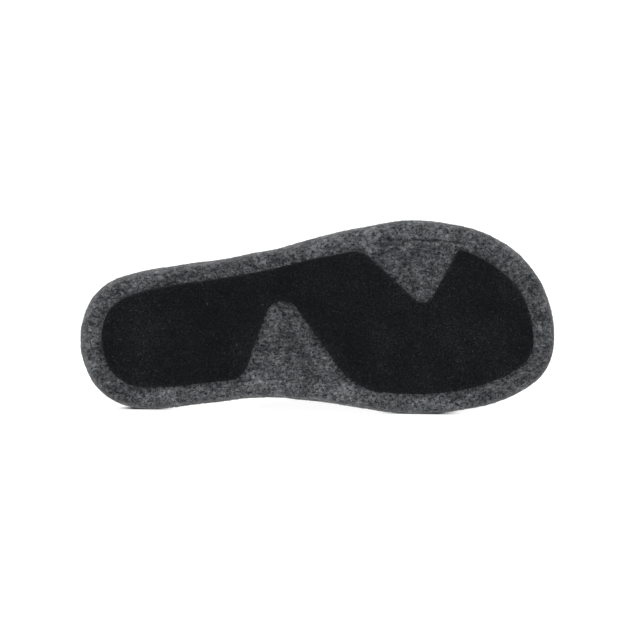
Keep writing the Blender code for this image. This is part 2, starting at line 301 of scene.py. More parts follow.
@dataclass(frozen=True)
class Table:
    """Rows with named columns, read smoothly along the shoe."""

    rows: Sequence[NamedTuple]

    def column(self, name: str) -> Array:
        """Return a column, with not-a-number where a row leaves it empty."""
        return np.array([getattr(row, name) for row in self.rows], dtype=float)

    def read(self, name: str, turn: Array) -> Array:
        """Read a column at angles along the shoe."""
        return spline(turn, turn_of(self.column("along")), self.column(name))

    def read_rounded(self, name: str, turn: Array) -> Array:
        """Read a column that closes, as an ellipse does, at the ends that are left empty.

        Args:
            name: Name of the column.
            turn: Angles along the shoe.

        Returns:
            The fullness, which is the value over the sine of the angle, times that sine.
        """
        turns = turn_of(self.column("along"))
        fullness = self.column(name) / np.maximum(np.sin(turns), TINY)
        known = ~np.isnan(fullness)
        nearest = np.clip(np.arange(len(turns)), np.argmax(known), np.nonzero(known)[0][-1])
        return spline(turn, turns, fullness[nearest]) * np.sin(turn)


OUTLINE = Table((
    OutlineRow(0.00, 6.8, None),
    OutlineRow(0.02, 7.6, 21.6),
    OutlineRow(0.05, 8.2, 30.8),
    OutlineRow(0.10, 8.4, 37.3),
    OutlineRow(0.20, 5.8, 40.2),
    OutlineRow(0.30, 2.2, 40.3),
    OutlineRow(0.40, -1.4, 41.7),
    OutlineRow(0.50, -4.0, 46.5),
    OutlineRow(0.60, -4.9, 51.8),
    OutlineRow(0.70, -5.4, 54.9),
    OutlineRow(0.80, -4.7, 52.5),
    OutlineRow(0.90, -2.8, 43.6),
    OutlineRow(0.95, -0.3, 33.8),
    OutlineRow(0.98, 2.6, 23.2),
    OutlineRow(1.00, 6.3, None),
))
HEIGHTS = Table((
    HeightRow(0.00, 21.0, 4.5),
    HeightRow(0.15, 21.0, 4.5),
    HeightRow(0.35, 19.5, 3.8),
    HeightRow(0.50, 17.5, 2.6),
    HeightRow(0.70, 15.0, 1.6),
    HeightRow(0.85, 14.5, 1.2),
    HeightRow(1.00, 14.5, 1.2),
))
EDGE = (
    EdgeRow(13.5, 0.00),
    EdgeRow(9.9, 0.00),
    EdgeRow(8.4, 0.00),
    EdgeRow(4.8, 0.01),
    EdgeRow(2.8, 0.04),
    EdgeRow(1.3, 0.12),
    EdgeRow(0.4, 0.25),
    EdgeRow(0.0, 0.46),
    EdgeRow(0.1, 0.78),
    EdgeRow(0.9, 0.93),
    EdgeRow(2.4, 1.00),
)
SECTIONS = Table((
    SectionRow(0.30, 74.0, 8.0, 3.2, 2.0, 3.0),
    SectionRow(0.42, 68.0, 8.0, 3.2, 2.0, 3.0),
    SectionRow(0.53, 60.0, 8.0, 3.1, 2.0, 2.8),
    SectionRow(0.62, 50.0, 7.0, 2.7, 2.1, 1.4),
    SectionRow(0.72, 41.0, 4.5, 2.4, 2.2, 0.2),
    SectionRow(0.82, 35.0, 3.5, 2.3, 2.3, 0.0),
    SectionRow(0.90, 29.0, 2.5, 2.3, 2.3, 0.0),
    SectionRow(0.95, 23.0, 1.0, 2.2, 2.2, 0.0),
    SectionRow(1.00, None, 0.0, 2.0, 2.0, 0.0),
))
BARE_RIM = Table((
    BareRow(0.00, 11.9, 11.9),
    BareRow(0.06, 11.6, 12.6),
    BareRow(0.15, 10.9, 12.0),
    BareRow(0.25, 10.6, 11.6),
    BareRow(0.45, 10.7, 10.7),
    BareRow(0.58, 12.2, 10.6),
    BareRow(0.72, 12.9, 10.9),
    BareRow(0.80, 12.8, 11.3),
    BareRow(0.90, 14.1, 11.9),
    BareRow(0.97, 13.1, 12.2),
    BareRow(1.00, 12.2, 11.6),
))
FLEX_NOTCH = (
    NotchCorner(159.6, None, 11.0),
    NotchCorner(196.5, -9.7, 6.4),
    NotchCorner(215.2, None, 2.2),
)
ARCH_NOTCH = (
    NotchCorner(155.4, None, 38.0),
    NotchCorner(112.2, -26.0, 10.0),
    NotchCorner(92.2, None, 12.0),
)

# Soft creases where the vamp bends with the foot
CREASES = (
    CreaseRow(0.600, 0.020, 0.46, 0.26, 0.9, 3.2),
    CreaseRow(0.655, 0.030, 0.55, 0.33, 1.2, 3.8),
    CreaseRow(0.715, 0.025, 0.44, 0.24, 0.8, 3.0),
    CreaseRow(0.560, 0.050, 0.16, 0.09, 0.8, 4.0),
    CreaseRow(0.520, 0.040, 0.86, 0.08, 0.7, 4.0),
)

# Creases pressed in under the sole's edge, with painted shade along them
SOLE_CREASES = (
    EdgeCreaseRow(195.0, 24.0, Side.LATERAL, 0.9, 9.3, 2.0),
    EdgeCreaseRow(111.0, 24.0, Side.MEDIAL, 0.7, 9.9, 0.0),
    EdgeCreaseRow(158.0, 14.0, Side.LATERAL, 0.3, 9.9, 0.0),
)

# Painted light and shade around the sole's edge, lightest along the medial side as light from below, and
# painted shade in its notches
EDGE_PAINTED_LIGHT = (
    StretchRow(130.0, 94.0, Side.MEDIAL, 0.17),
    StretchRow(62.0, 36.0, Side.LATERAL, -0.06),
    StretchRow(160.0, 46.0, Side.LATERAL, 0.14),
    StretchRow(244.0, 32.0, Side.LATERAL, -0.08),
    StretchRow(262.0, 12.0, Side.MEDIAL, -0.11),
    StretchRow(6.0, 10.0, Side.LATERAL, -0.05),
    StretchRow(6.0, 10.0, Side.MEDIAL, -0.05),
)
NOTCH_PAINTED_SHADE = (
    SpotRow(190.0, -28.0, 28.0, 18.0, -0.04),
    SpotRow(114.0, 4.0, 20.0, 26.0, -0.05),
)

# Painted highlight where the pad's cut edge catches the overhead light
PAINTED_HIGHLIGHT_CUTS = (
    StretchRow(150.0, 14.0, Side.LATERAL, 1.0),
    StretchRow(9.0, 12.0, Side.LATERAL, 0.8),
    StretchRow(9.0, 8.0, Side.MEDIAL, 0.5),
    StretchRow(228.0, 24.0, Side.LATERAL, 0.4),
)

# Painted shade on the floor in the gap between floor and sole, where heel and ball rest on it
PAINTED_CONTACT_SHADES = (
    ShadeRow(-98.0, 17.0, -32.3, -29.0, -23.5, -19.5),
    ShadeRow(59.0, 25.0, -37.3, -33.6, -24.0, -14.0),
)

# Faint wear on the tread, under ball, great toe and heel
WEAR_SPOTS = (
    SpotRow(212.0, 6.0, 26.0, 20.0, 1.0),
    SpotRow(236.0, 16.0, 14.0, 11.0, 0.6),
    SpotRow(38.0, 6.0, 24.0, 18.0, 0.8),
    SpotRow(176.0, -24.0, 16.0, 11.0, 0.5),
)


@dataclass(frozen=True)
class Last:
    """Form that the standing shoe's pieces share."""

    length: float = 270.0
    gap: float = 0.3
    pad_thick: float = 1.5
    insole_thick: float = 3.0
    toe_spring: float = 6.0
    toe_spring_start: float = 0.74
    heel_rocker: float = 1.5
    heel_rocker_end: float = 0.09
    arch_lift: float = 3.0
    arch_support: float = 3.0
    arch_along: float = 0.44
    arch_half_length: float = 30.0
    arch_inner: float = -2.0
    arch_outer: float = 40.0
    rim_width: float = 6.4
    rebate_slope: float = 0.4
    dish_run: float = 13.0
    tangent_step: float = 1e-3

    def outline(self, turn: Array) -> Array:
        """Return the sole's outline: lateral from heel to toe for 0 to pi, then medial back.

        Args:
            turn: Angles around the outline.

        Returns:
            Places along and across, as the last axis: half the length times one less the cosine,
            and the middle with half of the width to its side.
        """
        turn = np.mod(turn, FULL_TURN)
        folded = fold(turn)
        side = np.where(turn > math.pi, Side.MEDIAL.value, Side.LATERAL.value)
        along = self.length * (1.0 - np.cos(folded)) / 2.0
        half = OUTLINE.read_rounded("half_width", folded)
        return np.stack([along, OUTLINE.read("middle", folded) + side * half], axis=-1)

    def inset_outline(self, turn: Array, inset: Union[float, Array]) -> Array:
        """Return the outline moved in by a distance, square to its edge.

        Args:
            turn: Angles around the outline.
            inset: Distance in, one for all angles or one for each.

        Returns:
            Places along and across, as the last axis: the outline plus the distance along its inward
            normal.
        """
        tangent = self.outline(turn + self.tangent_step) - self.outline(turn - self.tangent_step)
        tangent = tangent / np.linalg.norm(tangent, axis=-1, keepdims=True)
        inward = np.stack([-tangent[..., 1], tangent[..., 0]], axis=-1)
        return self.outline(turn) + inward * np.asarray(inset)[..., None]

    def ground(self, x: Array) -> Array:
        """Return the tread's height.

        Args:
            x: Places along.

        Returns:
            Heights, 0 on the flat, with a parabola each for toe spring and heel rocker.
        """
        along = x / self.length
        toe = np.clip((along - self.toe_spring_start) / (1.0 - self.toe_spring_start), 0.0, 1.0)
        heel = np.clip(1.0 - along / self.heel_rocker_end, 0.0, 1.0)
        return self.toe_spring * toe ** 2 + self.heel_rocker * heel ** 2

    def arch(self, x: Array, y: Array) -> Array:
        """Return the share of the medial arch.

        Args:
            x: Places along.
            y: Places across.

        Returns:
            Shares from 0 to 1: a squared parabola along the shoe times an ease across it.
        """
        place = (x - self.arch_along * self.length) / self.arch_half_length
        hump = np.clip(1.0 - place ** 2, 0.0, 1.0) ** 2
        return hump * smooth_step((y - self.arch_inner) / (self.arch_outer - self.arch_inner))

    def sole_bottom(self, x: Array, y: Array) -> Array:
        """Return the height of the felt under the sole, just above the tread pad."""
        return self.ground(x) + self.pad_thick + self.gap + self.arch_lift * self.arch(x, y)

    def rim_top(self, x: Array) -> Array:
        """Return the height of the sole's rim."""
        return self.ground(x) + HEIGHTS.read("rim", turn_of(x / self.length))

    def seat(self, x: Array, y: Array, inset: Array) -> Array:
        """Return the height of the dished seat inside the rim, where the insole lies.

        Args:
            x: Places along.
            y: Places across.
            inset: Their distance in from the outline.

        Returns:
            The rim's height, less the insole and its gap, less a dish eased in from the rim, plus the
            arch.
        """
        dish = HEIGHTS.read("dish", turn_of(x / self.length))
        depth = dish * smooth_step((inset - self.rim_width) / self.dish_run)
        depth = depth - self.arch_support * self.arch(x, y)
        return self.rim_top(x) - self.insole_thick - self.gap - depth


@dataclass(frozen=True)
class LyingPose:
    """Turn and place that lay the standing shoe on its medial side."""

    turn: Array
    place: Array

    @classmethod
    def from_frame(cls, sole: Array, yaw: float) -> "LyingPose":
        """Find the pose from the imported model.

        The roll lays the standing tread's normal along the tread mount's axis, and the place sets
        the middle of the sole's box on that of the CAD sole.

        Args:
            sole: Points of the standing sole.
            yaw: Angle that levels heel and ball, turned before the roll.

        Returns:
            The pose.
        """
        tread = next(mount for mount in frame["record"]["mounts"] if mount["name"] == "tread")
        roll = math.atan2(tread["axis"][1], -tread["axis"][2])
        turn = np.array(Matrix.Rotation(roll, 3, "X") @ Matrix.Rotation(yaw, 3, "Z"))
        laid = sole @ turn.T
        low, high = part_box(Piece.SOLE.node)
        middle = (np.array(low) + np.array(high)) * TO_MM / 2.0
        return cls(turn, middle - (laid.min(axis=0) + laid.max(axis=0)) / 2.0)

    def to_frame(self, points: Array) -> Array:
        """Carry standing points in millimetres to the model's frame, in metres."""
        return (points @ self.turn.T + self.place) * MM

    def looking_at_tread(self, target: Array, distance: float) -> Matrix:
        """Return the matrix of a camera square to the tread, toe to the right, lateral side up.

        Args:
            target: Standing point in the middle of the picture.
            distance: Distance from it, in millimetres.

        Returns:
            The camera's matrix in the model's frame.
        """
        right, up, back = self.turn[:, 0], -self.turn[:, 1], -self.turn[:, 2]
        place = self.to_frame(target) + back * distance * MM
        matrix = Matrix.Identity(4)
        for column, axis in enumerate((right, up, back, place)):
            for row in range(3):
                matrix[row][column] = axis[row]
        return matrix


@dataclass(frozen=True)
class Skin:
    """A finished surface: points, their outward normals, four-cornered faces and named marks."""

    points: Array
    normals: Array
    faces: Index
    marks: dict[str, Array]

    @classmethod
    def around(cls, points: Array, faces: Index, marks: dict[str, Array]) -> "Skin":
        """Make a skin, with normals summed from the faces by their area.

        Args:
            points: Points of the surface.
            faces: Four corners of each face.
            marks: Values for each point by the mark's name.

        Returns:
            The skin. A normal is the sum of the crossed diagonals of the faces around its point.
        """
        diagonal = points[faces[:, 2]] - points[faces[:, 0]]
        other = points[faces[:, 3]] - points[faces[:, 1]]
        square = np.cross(diagonal, other)
        normals = np.zeros_like(points)
        for corner in range(4):
            np.add.at(normals, faces[:, corner], square)
        length = np.linalg.norm(normals, axis=1, keepdims=True)
        return cls(points, normals / np.maximum(length, TINY), faces, marks)

    def raised(self, height: Array) -> "Skin":
        """Return the skin with each point moved along its normal."""
        return Skin.around(self.points + self.normals * height[:, None], self.faces, self.marks)

    def to_object(self, name: str, pose: LyingPose) -> bpy.types.Object:
        """Put the skin into the scene as a smooth mesh, pressed flat by the floor, with its marks.

        Args:
            name: Name of the piece.
            pose: Pose that carries the points to the model's frame.

        Returns:
            The new object, at the origin.
        """
        kept = self.faces != np.roll(self.faces, -1, axis=1)
        whole = kept.sum(axis=1) >= 3
        corners = self.faces[whole][kept[whole]]
        counts = kept[whole].sum(axis=1)
        mesh = bpy.data.meshes.new(name)
        mesh.vertices.add(len(self.points))
        placed = pose.to_frame(self.points)
        placed[:, 2] = np.maximum(placed[:, 2], 0.0)
        mesh.vertices.foreach_set("co", placed.astype(np.float32).ravel())
        mesh.loops.add(len(corners))
        mesh.loops.foreach_set("vertex_index", corners.astype(np.int32))
        mesh.polygons.add(len(counts))
        starts = np.concatenate([[0], np.cumsum(counts)[:-1]])
        mesh.polygons.foreach_set("loop_start", starts.astype(np.int32))
        for mark, values in self.marks.items():
            attribute = mesh.attributes.new(mark, "FLOAT", "POINT")
            attribute.data.foreach_set("value", values.astype(np.float32))
        mesh.update(calc_edges=True)
        mesh.validate()
        mesh.shade_smooth()
        made = bpy.data.objects.new(name, mesh)
        bpy.context.scene.collection.objects.link(made)
        return made


@dataclass
class Shell:
    """Grids of points that are sewn together into one closed skin."""

    mark_names: tuple[str, ...] = ()
    grids: list[Array] = field(default_factory=list)
    faces: list[Index] = field(default_factory=list)
    marks: dict[str, list[Array]] = field(default_factory=dict)
    count: int = 0

    def add(self, grid: Array, wraps: bool = False, flipped: bool = False, **marks: Array) -> None:
        """Add a grid of points.

        Args:
            grid: Points, with rows and columns as the first two axes.
            wraps: Whether the last row is joined to the first.
            flipped: Whether its faces point the other way than row crossed with column.
            marks: Values for each point by the mark's name. A mark left out is 0.
        """
        rows, columns = grid.shape[:2]
        index = np.arange(rows * columns).reshape(rows, columns) + self.count
        here = index if wraps else index[:-1]
        after = np.roll(index, -1, axis=0) if wraps else index[1:]
        quads = np.stack([here[:, :-1], after[:, :-1], after[:, 1:], here[:, 1:]], axis=-1)
        quads = quads.reshape(-1, 4)
        self.faces.append(quads[:, ::-1] if flipped else quads)
        self.grids.append(grid.reshape(-1, 3))
        for name in self.mark_names:
            values = np.broadcast_to(marks.get(name, 0.0), (rows, columns))
            self.marks.setdefault(name, []).append(values.ravel())
        self.count += rows * columns

    def sewn(self) -> Skin:
        """Join points that lie on one another and return the skin.

        Returns:
            The closed skin.
        """
        points = np.concatenate(self.grids)
        keys = np.round(points / SEAM_SIZE).astype(np.int64)
        _, first, joined = np.unique(keys, axis=0, return_index=True, return_inverse=True)
        faces = joined.reshape(-1)[np.concatenate(self.faces)]
        marks = {name: np.concatenate(parts)[first] for name, parts in self.marks.items()}
        return Skin.around(points[first], faces, marks)


@dataclass(frozen=True)
class Lumps:
    """Soft unevenness of felt: a sum of plane waves with seeded directions and phases."""

    size: float
    height: float
    seed: int
    waves: int = 28
    shortest: float = 0.7
    longest: float = 1.5

    def at(self, points: Array) -> Array:
        """Return the height at each point.

        Args:
            points: Points of a skin.

        Returns:
            Heights: the sum of the cosines of the points along the waves' directions, plus their
            phases.
        """
        chance = np.random.default_rng(self.seed)
        ways = chance.normal(size=(self.waves, 3))
        ways /= np.linalg.norm(ways, axis=1, keepdims=True)
        ways *= FULL_TURN / (self.size * chance.uniform(self.shortest, self.longest, (self.waves, 1)))
        phases = chance.uniform(0.0, FULL_TURN, self.waves)
        return self.height * math.sqrt(2.0 / self.waves) * np.cos(points @ ways.T + phases).sum(axis=1)


def half_cosine(value: Array) -> Array:
    """Fall from 1 to 0 as the value runs from 0 to 1, as half a cosine wave."""
    return (1.0 + np.cos(math.pi * np.clip(value, 0.0, 1.0))) / 2.0


def even_shares(steps: int, start_pull: float, end_pull: float) -> Array:
    """Return rising shares from 0 to 1 that crowd towards the ends that are pulled.

    The density is even, less a half cosine bump of the given strength at each end.

    Args:
        steps: Number of steps.
        start_pull: How much closer the first steps are, 0 to below 1.
        end_pull: The same for the last steps.

    Returns:
        The shares, one more than the steps.
    """
    middle = (np.arange(steps) + 0.5) / steps
    start = start_pull * half_cosine(middle / PULLED_PART)
    end = end_pull * half_cosine((1.0 - middle) / PULLED_PART)
    rising = np.concatenate([[0.0], np.cumsum(1.0 - start - end)])
    return rising / rising[-1]


def rounded_share(distance: Array, radius: float) -> Array:
    """Return the share of a wall's thickness near its edge: a quarter circle out to the radius."""
    left = 1.0 - np.clip(distance / radius, 0.0, 1.0)
    return np.sqrt(np.maximum(1.0 - left * left, 0.0))


def distance_to(loop: Array, places: Array) -> Array:
    """Return the distance from each place to the nearest point of a loop.

    Args:
        loop: Points along and across.
        places: Places along and across, as the last axis.

    Returns:
        Roots of the least of both squared lengths less twice the dot product.
    """
    squares = (places ** 2).sum(axis=-1)[..., None] + (loop ** 2).sum(axis=1)
    least = (squares - 2.0 * places @ loop.T).min(axis=-1)
    return np.sqrt(np.maximum(least, 0.0))


def lattice(ring: Array, shares: Array) -> Array:
    """Fill a closed ring with straight rows from its lateral to its medial side.

    Args:
        ring: Points around the ring, an even number, from the heel over the lateral side.
        shares: Rising shares across, from 0 to 1.

    Returns:
        A grid of points, its rows from heel to toe and its columns from lateral to medial.
    """
    half = len(ring) // 2
    place = np.arange(half + 1)
    lateral = ring[place]
    medial = ring[-place % len(ring)]
    grid = lateral[:, None] + (medial - lateral)[:, None] * shares[None, :, None]
    grid[:, -1] = medial
    return grid


Term = Union["Value", float]


class Value:
    """A shader socket that takes part in sums, products and powers."""

    def __init__(self, graph: "Graph", socket: bpy.types.NodeSocket) -> None:
        """Wrap a socket of a graph."""
        self.graph = graph
        self.socket = socket

    def _math(self, operation: str, *terms: Term) -> "Value":
        """Add a Math node with these terms."""
        return self.graph.node("ShaderNodeMath", {"operation": operation}, dict(enumerate(terms)))

    def __add__(self, other: Term) -> "Value":
        """Sum."""
        return self._math("ADD", self, other)

    __radd__ = __add__

    def __sub__(self, other: Term) -> "Value":
        """Difference."""
        return self._math("SUBTRACT", self, other)

    def __rsub__(self, other: Term) -> "Value":
        """Difference the other way round."""
        return self._math("SUBTRACT", other, self)

    def __mul__(self, other: Term) -> "Value":
        """Product."""
        return self._math("MULTIPLY", self, other)

    __rmul__ = __mul__

    def __pow__(self, power: Term) -> "Value":
        """Power."""
        return self._math("POWER", self, power)

    def __rpow__(self, base: float) -> "Value":
        """Power of a number."""
        return self._math("POWER", base, self)

    def at_least(self, least: float) -> "Value":
        """The larger of the value and a number."""
        return self._math("MAXIMUM", self, least)

    def __abs__(self) -> "Value":
        """Size without its sign."""
        return self._math("ABSOLUTE", self)

    def eased(self, low: float, high: float) -> "Value":
        """Ease from 0 at low to 1 at high.

        Args:
            low: Value that gives 0.
            high: Value that gives 1. Below low, the ease falls.

        Returns:
            The eased value, as 3 s squared less 2 s cubed.
        """
        inputs = {"Value": self, "From Min": min(low, high), "From Max": max(low, high)}
        rising = self.graph.node("ShaderNodeMapRange", {"interpolation_type": "SMOOTHSTEP"}, inputs)
        return rising if low < high else 1.0 - rising


class Graph:
    """A material and its nodes."""

    def __init__(self, name: str) -> None:
        """Start a material with one Principled shader.

        Args:
            name: Name of the material.
        """
        self.material = bpy.data.materials.new(name)
        self.material.use_nodes = True
        self.nodes = self.material.node_tree.nodes
        self.links = self.material.node_tree.links
        self.shader = self.nodes["Principled BSDF"]

    def node(
        self,
        kind: str,
        settings: Optional[dict[str, Any]] = None,
        inputs: Optional[dict[Union[str, int], Any]] = None,
        output: Union[str, int] = 0,
    ) -> Value:
        """Add a node.

        Args:
            kind: Blender's name for the type of node.
            settings: The node's own settings, which are set first.
            inputs: Values or links of its sockets, by name or place.
            output: The output to return, by name or place.

        Returns:
            That output as a value.
        """
        made = self.nodes.new(kind)
        for name, setting in (settings or {}).items():
            setattr(made, name, setting)
        for name, value in (inputs or {}).items():
            self.feed(made.inputs[name], value)
        return Value(self, made.outputs[output])

    def feed(self, socket: bpy.types.NodeSocket, value: Any) -> None:
        """Link a value to a socket, or set a constant on it.

        Args:
            socket: An input of a node.
            value: A value to link, or a constant.
        """
        if isinstance(value, Value):
            self.links.new(value.socket, socket)
        else:
            socket.default_value = value

    def set(self, **inputs: Any) -> None:
        """Feed the shader's sockets, their names written with underscores."""
        for name, value in inputs.items():
            self.feed(self.shader.inputs[name.replace("_", " ")], value)

    def place(self) -> Value:
        """Return Object coordinates in millimetres."""
        metres = self.node("ShaderNodeTexCoord", output="Object")
        return self.node("ShaderNodeVectorMath", {"operation": "SCALE"}, {0: metres, "Scale": TO_MM})

    def turned(self, place: Value, angles: Triple, scale: Triple) -> Value:
        """Return places turned by angles in degrees and scaled along the new axes.

        Args:
            place: Places to turn.
            angles: Angles about the three axes, in degrees.
            scale: Factors along the new axes.

        Returns:
            The moved places.
        """
        turn = tuple(math.radians(angle) for angle in angles)
        moved = self.node("ShaderNodeMapping", None, {"Vector": place, "Rotation": turn})
        return self.node("ShaderNodeVectorMath", {"operation": "MULTIPLY"}, {0: moved, 1: scale})

    def noise(self, place: Value, size: float, detail: float, roughness: float = 0.5) -> Value:
        """Return noise of a size in millimetres, around 0 and within about half either way."""
        inputs = {"Vector": place, "Scale": 1.0 / size, "Detail": detail, "Roughness": roughness}
        return self.node("ShaderNodeTexNoise", None, inputs) - 0.5

    def swayed(self, place: Value, size: float, reach: float) -> Value:
        """Return places pushed about by noise of a size, both in millimetres.

        Args:
            place: Places to push.
            size: Size of the noise.
            reach: Full span of the push.

        Returns:
            The places plus the noise, centred on 0, times the reach.
        """
        inputs = {"Vector": place, "Scale": 1.0 / size, "Detail": 1.0}
        push = self.node("ShaderNodeTexNoise", None, inputs, 1)
        centred = self.node("ShaderNodeVectorMath", {"operation": "SUBTRACT"}, {0: push, 1: (0.5,) * 3})
        settings = {"operation": "MULTIPLY_ADD"}
        return self.node("ShaderNodeVectorMath", settings, {0: centred, 1: (reach,) * 3, 2: place})

    def mark(self, name: str) -> Value:
        """Return a mark of the mesh."""
        return self.node("ShaderNodeAttribute", {"attribute_name": name}, None, "Fac")

    def tinted(self, tint: Triple, brightness: Value, dye: Triple = (0.0, 0.0, 0.0)) -> Value:
        """Return a tint times a brightness, with a dye added, as a colour."""
        settings = {"operation": "MULTIPLY_ADD"}
        return self.node("ShaderNodeVectorMath", settings, {0: tint, 1: brightness, 2: dye})

    def mixed(self, colour: Value, other: Any, share: Value) -> Value:
        """Return a colour mixed with another by the other's share."""
        inputs = {"Factor": share, MIX_FIRST: colour, MIX_SECOND: other}
        return self.node("ShaderNodeMix", {"data_type": "RGBA"}, inputs, MIX_OUT)

    def bump(self, height: Value, depth: float) -> Value:
        """Return a normal from heights, where 1 is a depth in millimetres."""
        inputs = {"Height": height, "Strength": 1.0, "Distance": depth * MM}
        return self.node("ShaderNodeBump", None, inputs)


@dataclass(frozen=True)
class FeltFinish:
    """Heathered wool felt: light and dark fibres pressed into a matt mat."""

    name: str
    brightness: float = 0.0623
    tint: Triple = (0.982, 1.0, 1.036)
    dye: Triple = (-0.001, 0.0, 0.002)
    darkest: float = 0.2
    fleck_size: float = 1.9
    fleck_stretch: Triple = (0.76, 1.0, 1.0)
    fleck_contrast: float = 2.55
    fleck_crispness: float = 0.66
    fleck_relief: float = 1.2
    tuft_size: float = 7.5
    tuft_contrast: float = 1.0
    cloud_size: float = 20.0
    cloud_contrast: float = 0.45
    fibre_size: float = 1.1
    fibre_length: float = 5.0
    fibre_turns: tuple[Triple, ...] = ((0.0, 8.0, 12.0), (0.0, -55.0, -40.0), (35.0, 62.0, 75.0))
    fibre_level: float = 0.07
    fibre_width: float = 0.035
    fibre_relief: float = 0.25
    light_contrast: float = 0.18
    dark_contrast: float = 0.45
    fuzz_size: float = 0.275
    fuzz_relief: float = 0.5
    speck_size: float = 1.15
    speck_start: float = 0.04
    speck_full: float = 0.24
    speck_contrast: float = 0.95
    # Painted shade along the creases under the sole's edge, broken into dashes
    press_depth: float = 0.6
    press_break: float = 6.0
    press_start: float = -0.18
    press_full: float = 0.06
    relief: float = 0.35
    roughness: float = 0.9
    roughness_spread: float = 0.1
    specular: float = 0.08
    sheen: float = 0.25
    sheen_roughness: float = 0.5

    def fibres(self, graph: Graph, place: Value) -> tuple[Value, Value]:
        """Return light and dark fibres: thin level lines of noise stretched along some ways.

        Args:
            graph: Graph to add nodes to.
            place: Places in millimetres.

        Returns:
            Shares of light and of dark fibre, about 0 to 1.
        """
        light: Term = 0.0
        dark: Term = 0.0
        stretch = (self.fibre_size / self.fibre_length, 1.0, 1.0)
        for angles in self.fibre_turns:
            along = graph.turned(place, angles, stretch)
            strand = graph.noise(along, self.fibre_size, 1.0)
            light = abs(strand - self.fibre_level).eased(self.fibre_width, 0.0) + light
            dark = abs(strand + self.fibre_level).eased(self.fibre_width, 0.0) + dark
        return light, dark

    def material(self) -> bpy.types.Material:
        """Make the felt.

        Its brightness is one, plus flecks, tufts, clouds, painted light and shade and light fibres, less
        dark fibres, specks and the painted shade along the creases, to the power that turns the eye's
        scale to light. A mark that a mesh lacks counts as 0.

        Returns:
            The material.
        """
        graph = Graph(self.name)
        place = graph.place()
        loose = graph.swayed(place, self.fibre_length, self.fibre_size)
        stretched = graph.turned(loose, (0.0, 0.0, 0.0), self.fleck_stretch)
        flecks = graph.noise(stretched, self.fleck_size, 3.0, self.fleck_crispness)
        tufts = graph.noise(stretched, self.tuft_size, 1.0)
        clouds = graph.noise(place, self.cloud_size, 2.0)
        light, dark = self.fibres(graph, loose)
        specks = graph.noise(stretched, self.speck_size, 1.0).eased(self.speck_start, self.speck_full)
        # Painted shade along the sole's creases, broken into dashes by noise
        broken = graph.noise(place, self.press_break, 1.0).eased(self.press_start, self.press_full)
        press = graph.mark("press") * broken
        marl = flecks * self.fleck_contrast + tufts * self.tuft_contrast + clouds * self.cloud_contrast
        # The sole's mark adds painted light and shade along its edge and in the pad's notches
        marl = marl + graph.mark("tone") + light * self.light_contrast - dark * self.dark_contrast
        marl = marl - specks * self.speck_contrast - press * self.press_depth
        fuzz = graph.noise(loose, self.fuzz_size, 2.0)
        height = flecks * self.fleck_relief + (light + dark) * self.fibre_relief + fuzz * self.fuzz_relief
        brightness = self.brightness * (1.0 + marl).at_least(self.darkest) ** EYE_POWER
        graph.set(
            Base_Color=graph.tinted(self.tint, brightness, self.dye),
            Roughness=self.roughness + flecks * self.roughness_spread,
            Specular_IOR_Level=self.specular,
            Sheen_Weight=self.sheen,
            Sheen_Roughness=self.sheen_roughness,
            Normal=graph.bump(height, self.relief),
        )
        return graph.material


@dataclass(frozen=True)
class NapFinish:
    """Loose wool hairs, each of its own shade."""

    name: str
    brightness: float = 0.07
    contrast: float = 2.2
    tint: Triple = (0.974, 1.0, 1.059)
    roughness: float = 0.9
    specular: float = 0.1

    def material(self) -> bpy.types.Material:
        """Make the hairs.

        Their brightness is e to the power of each hair's own shade, centred on 0, times the contrast.

        Returns:
            The material.
        """
        graph = Graph(self.name)
        shade = (graph.mark("shade") - 0.5) * self.contrast
        graph.set(
            Base_Color=graph.tinted(self.tint, self.brightness * (math.e ** shade)),
            Roughness=self.roughness,
            Specular_IOR_Level=self.specular,
        )
        return graph.material


@dataclass(frozen=True)
class PadFinish:
    """Matt black tread sheet: fine grain, small pale specks, faint wear and a painted highlight on its
    cut edge.
    """

    name: str
    brightness: float = 0.0039
    tint: Triple = (0.958, 1.0, 1.083)
    dye: Triple = (-0.00027, 0.0, 0.00053)
    grain_size: float = 0.8
    grain_contrast: float = 5.9
    crispness: float = 0.6
    cloud_size: float = 22.0
    cloud_contrast: float = 1.85
    speck_size: float = 1.3
    speck_start: float = 0.14
    speck_full: float = 0.24
    speck_contrast: float = 0.9
    wear_contrast: float = 0.35
    rim_contrast: float = 0.5
    # Painted highlight of the cut edge, mixed in by the cut mark
    cut_colour: Paint = (0.05, 0.05, 0.052, 1.0)
    cut_share: float = 0.8
    relief: float = 0.12
    roughness: float = 0.72
    roughness_spread: float = 0.12
    rubbed_shine: float = 0.08
    specular: float = 0.06

    def material(self) -> bpy.types.Material:
        """Make the sheet.

        Its brightness is e to the power of the sum of grain, clouds, specks, wear and rim. A painted
        highlight on the cut edge is mixed over it.

        Returns:
            The material.
        """
        graph = Graph(self.name)
        place = graph.place()
        grain = graph.noise(place, self.grain_size, 2.0, self.crispness)
        clouds = graph.noise(place, self.cloud_size, 3.0, self.crispness)
        specks = graph.noise(place, self.speck_size, 1.0).eased(self.speck_start, self.speck_full)
        rubbed = graph.mark("wear") * (grain + 0.5)
        shade = grain * self.grain_contrast + clouds * self.cloud_contrast + specks * self.speck_contrast
        shade = shade + rubbed * self.wear_contrast + graph.mark("rim") * self.rim_contrast
        black = graph.tinted(self.tint, self.brightness * (math.e ** shade), self.dye)
        graph.set(
            # The cut mark mixes in a painted highlight on the pad's cut edge
            Base_Color=graph.mixed(black, self.cut_colour, graph.mark("cut") * self.cut_share),
            Roughness=self.roughness + clouds * self.roughness_spread - rubbed * self.rubbed_shine,
            Specular_IOR_Level=self.specular,
            Normal=graph.bump(grain, self.relief),
        )
        return graph.material


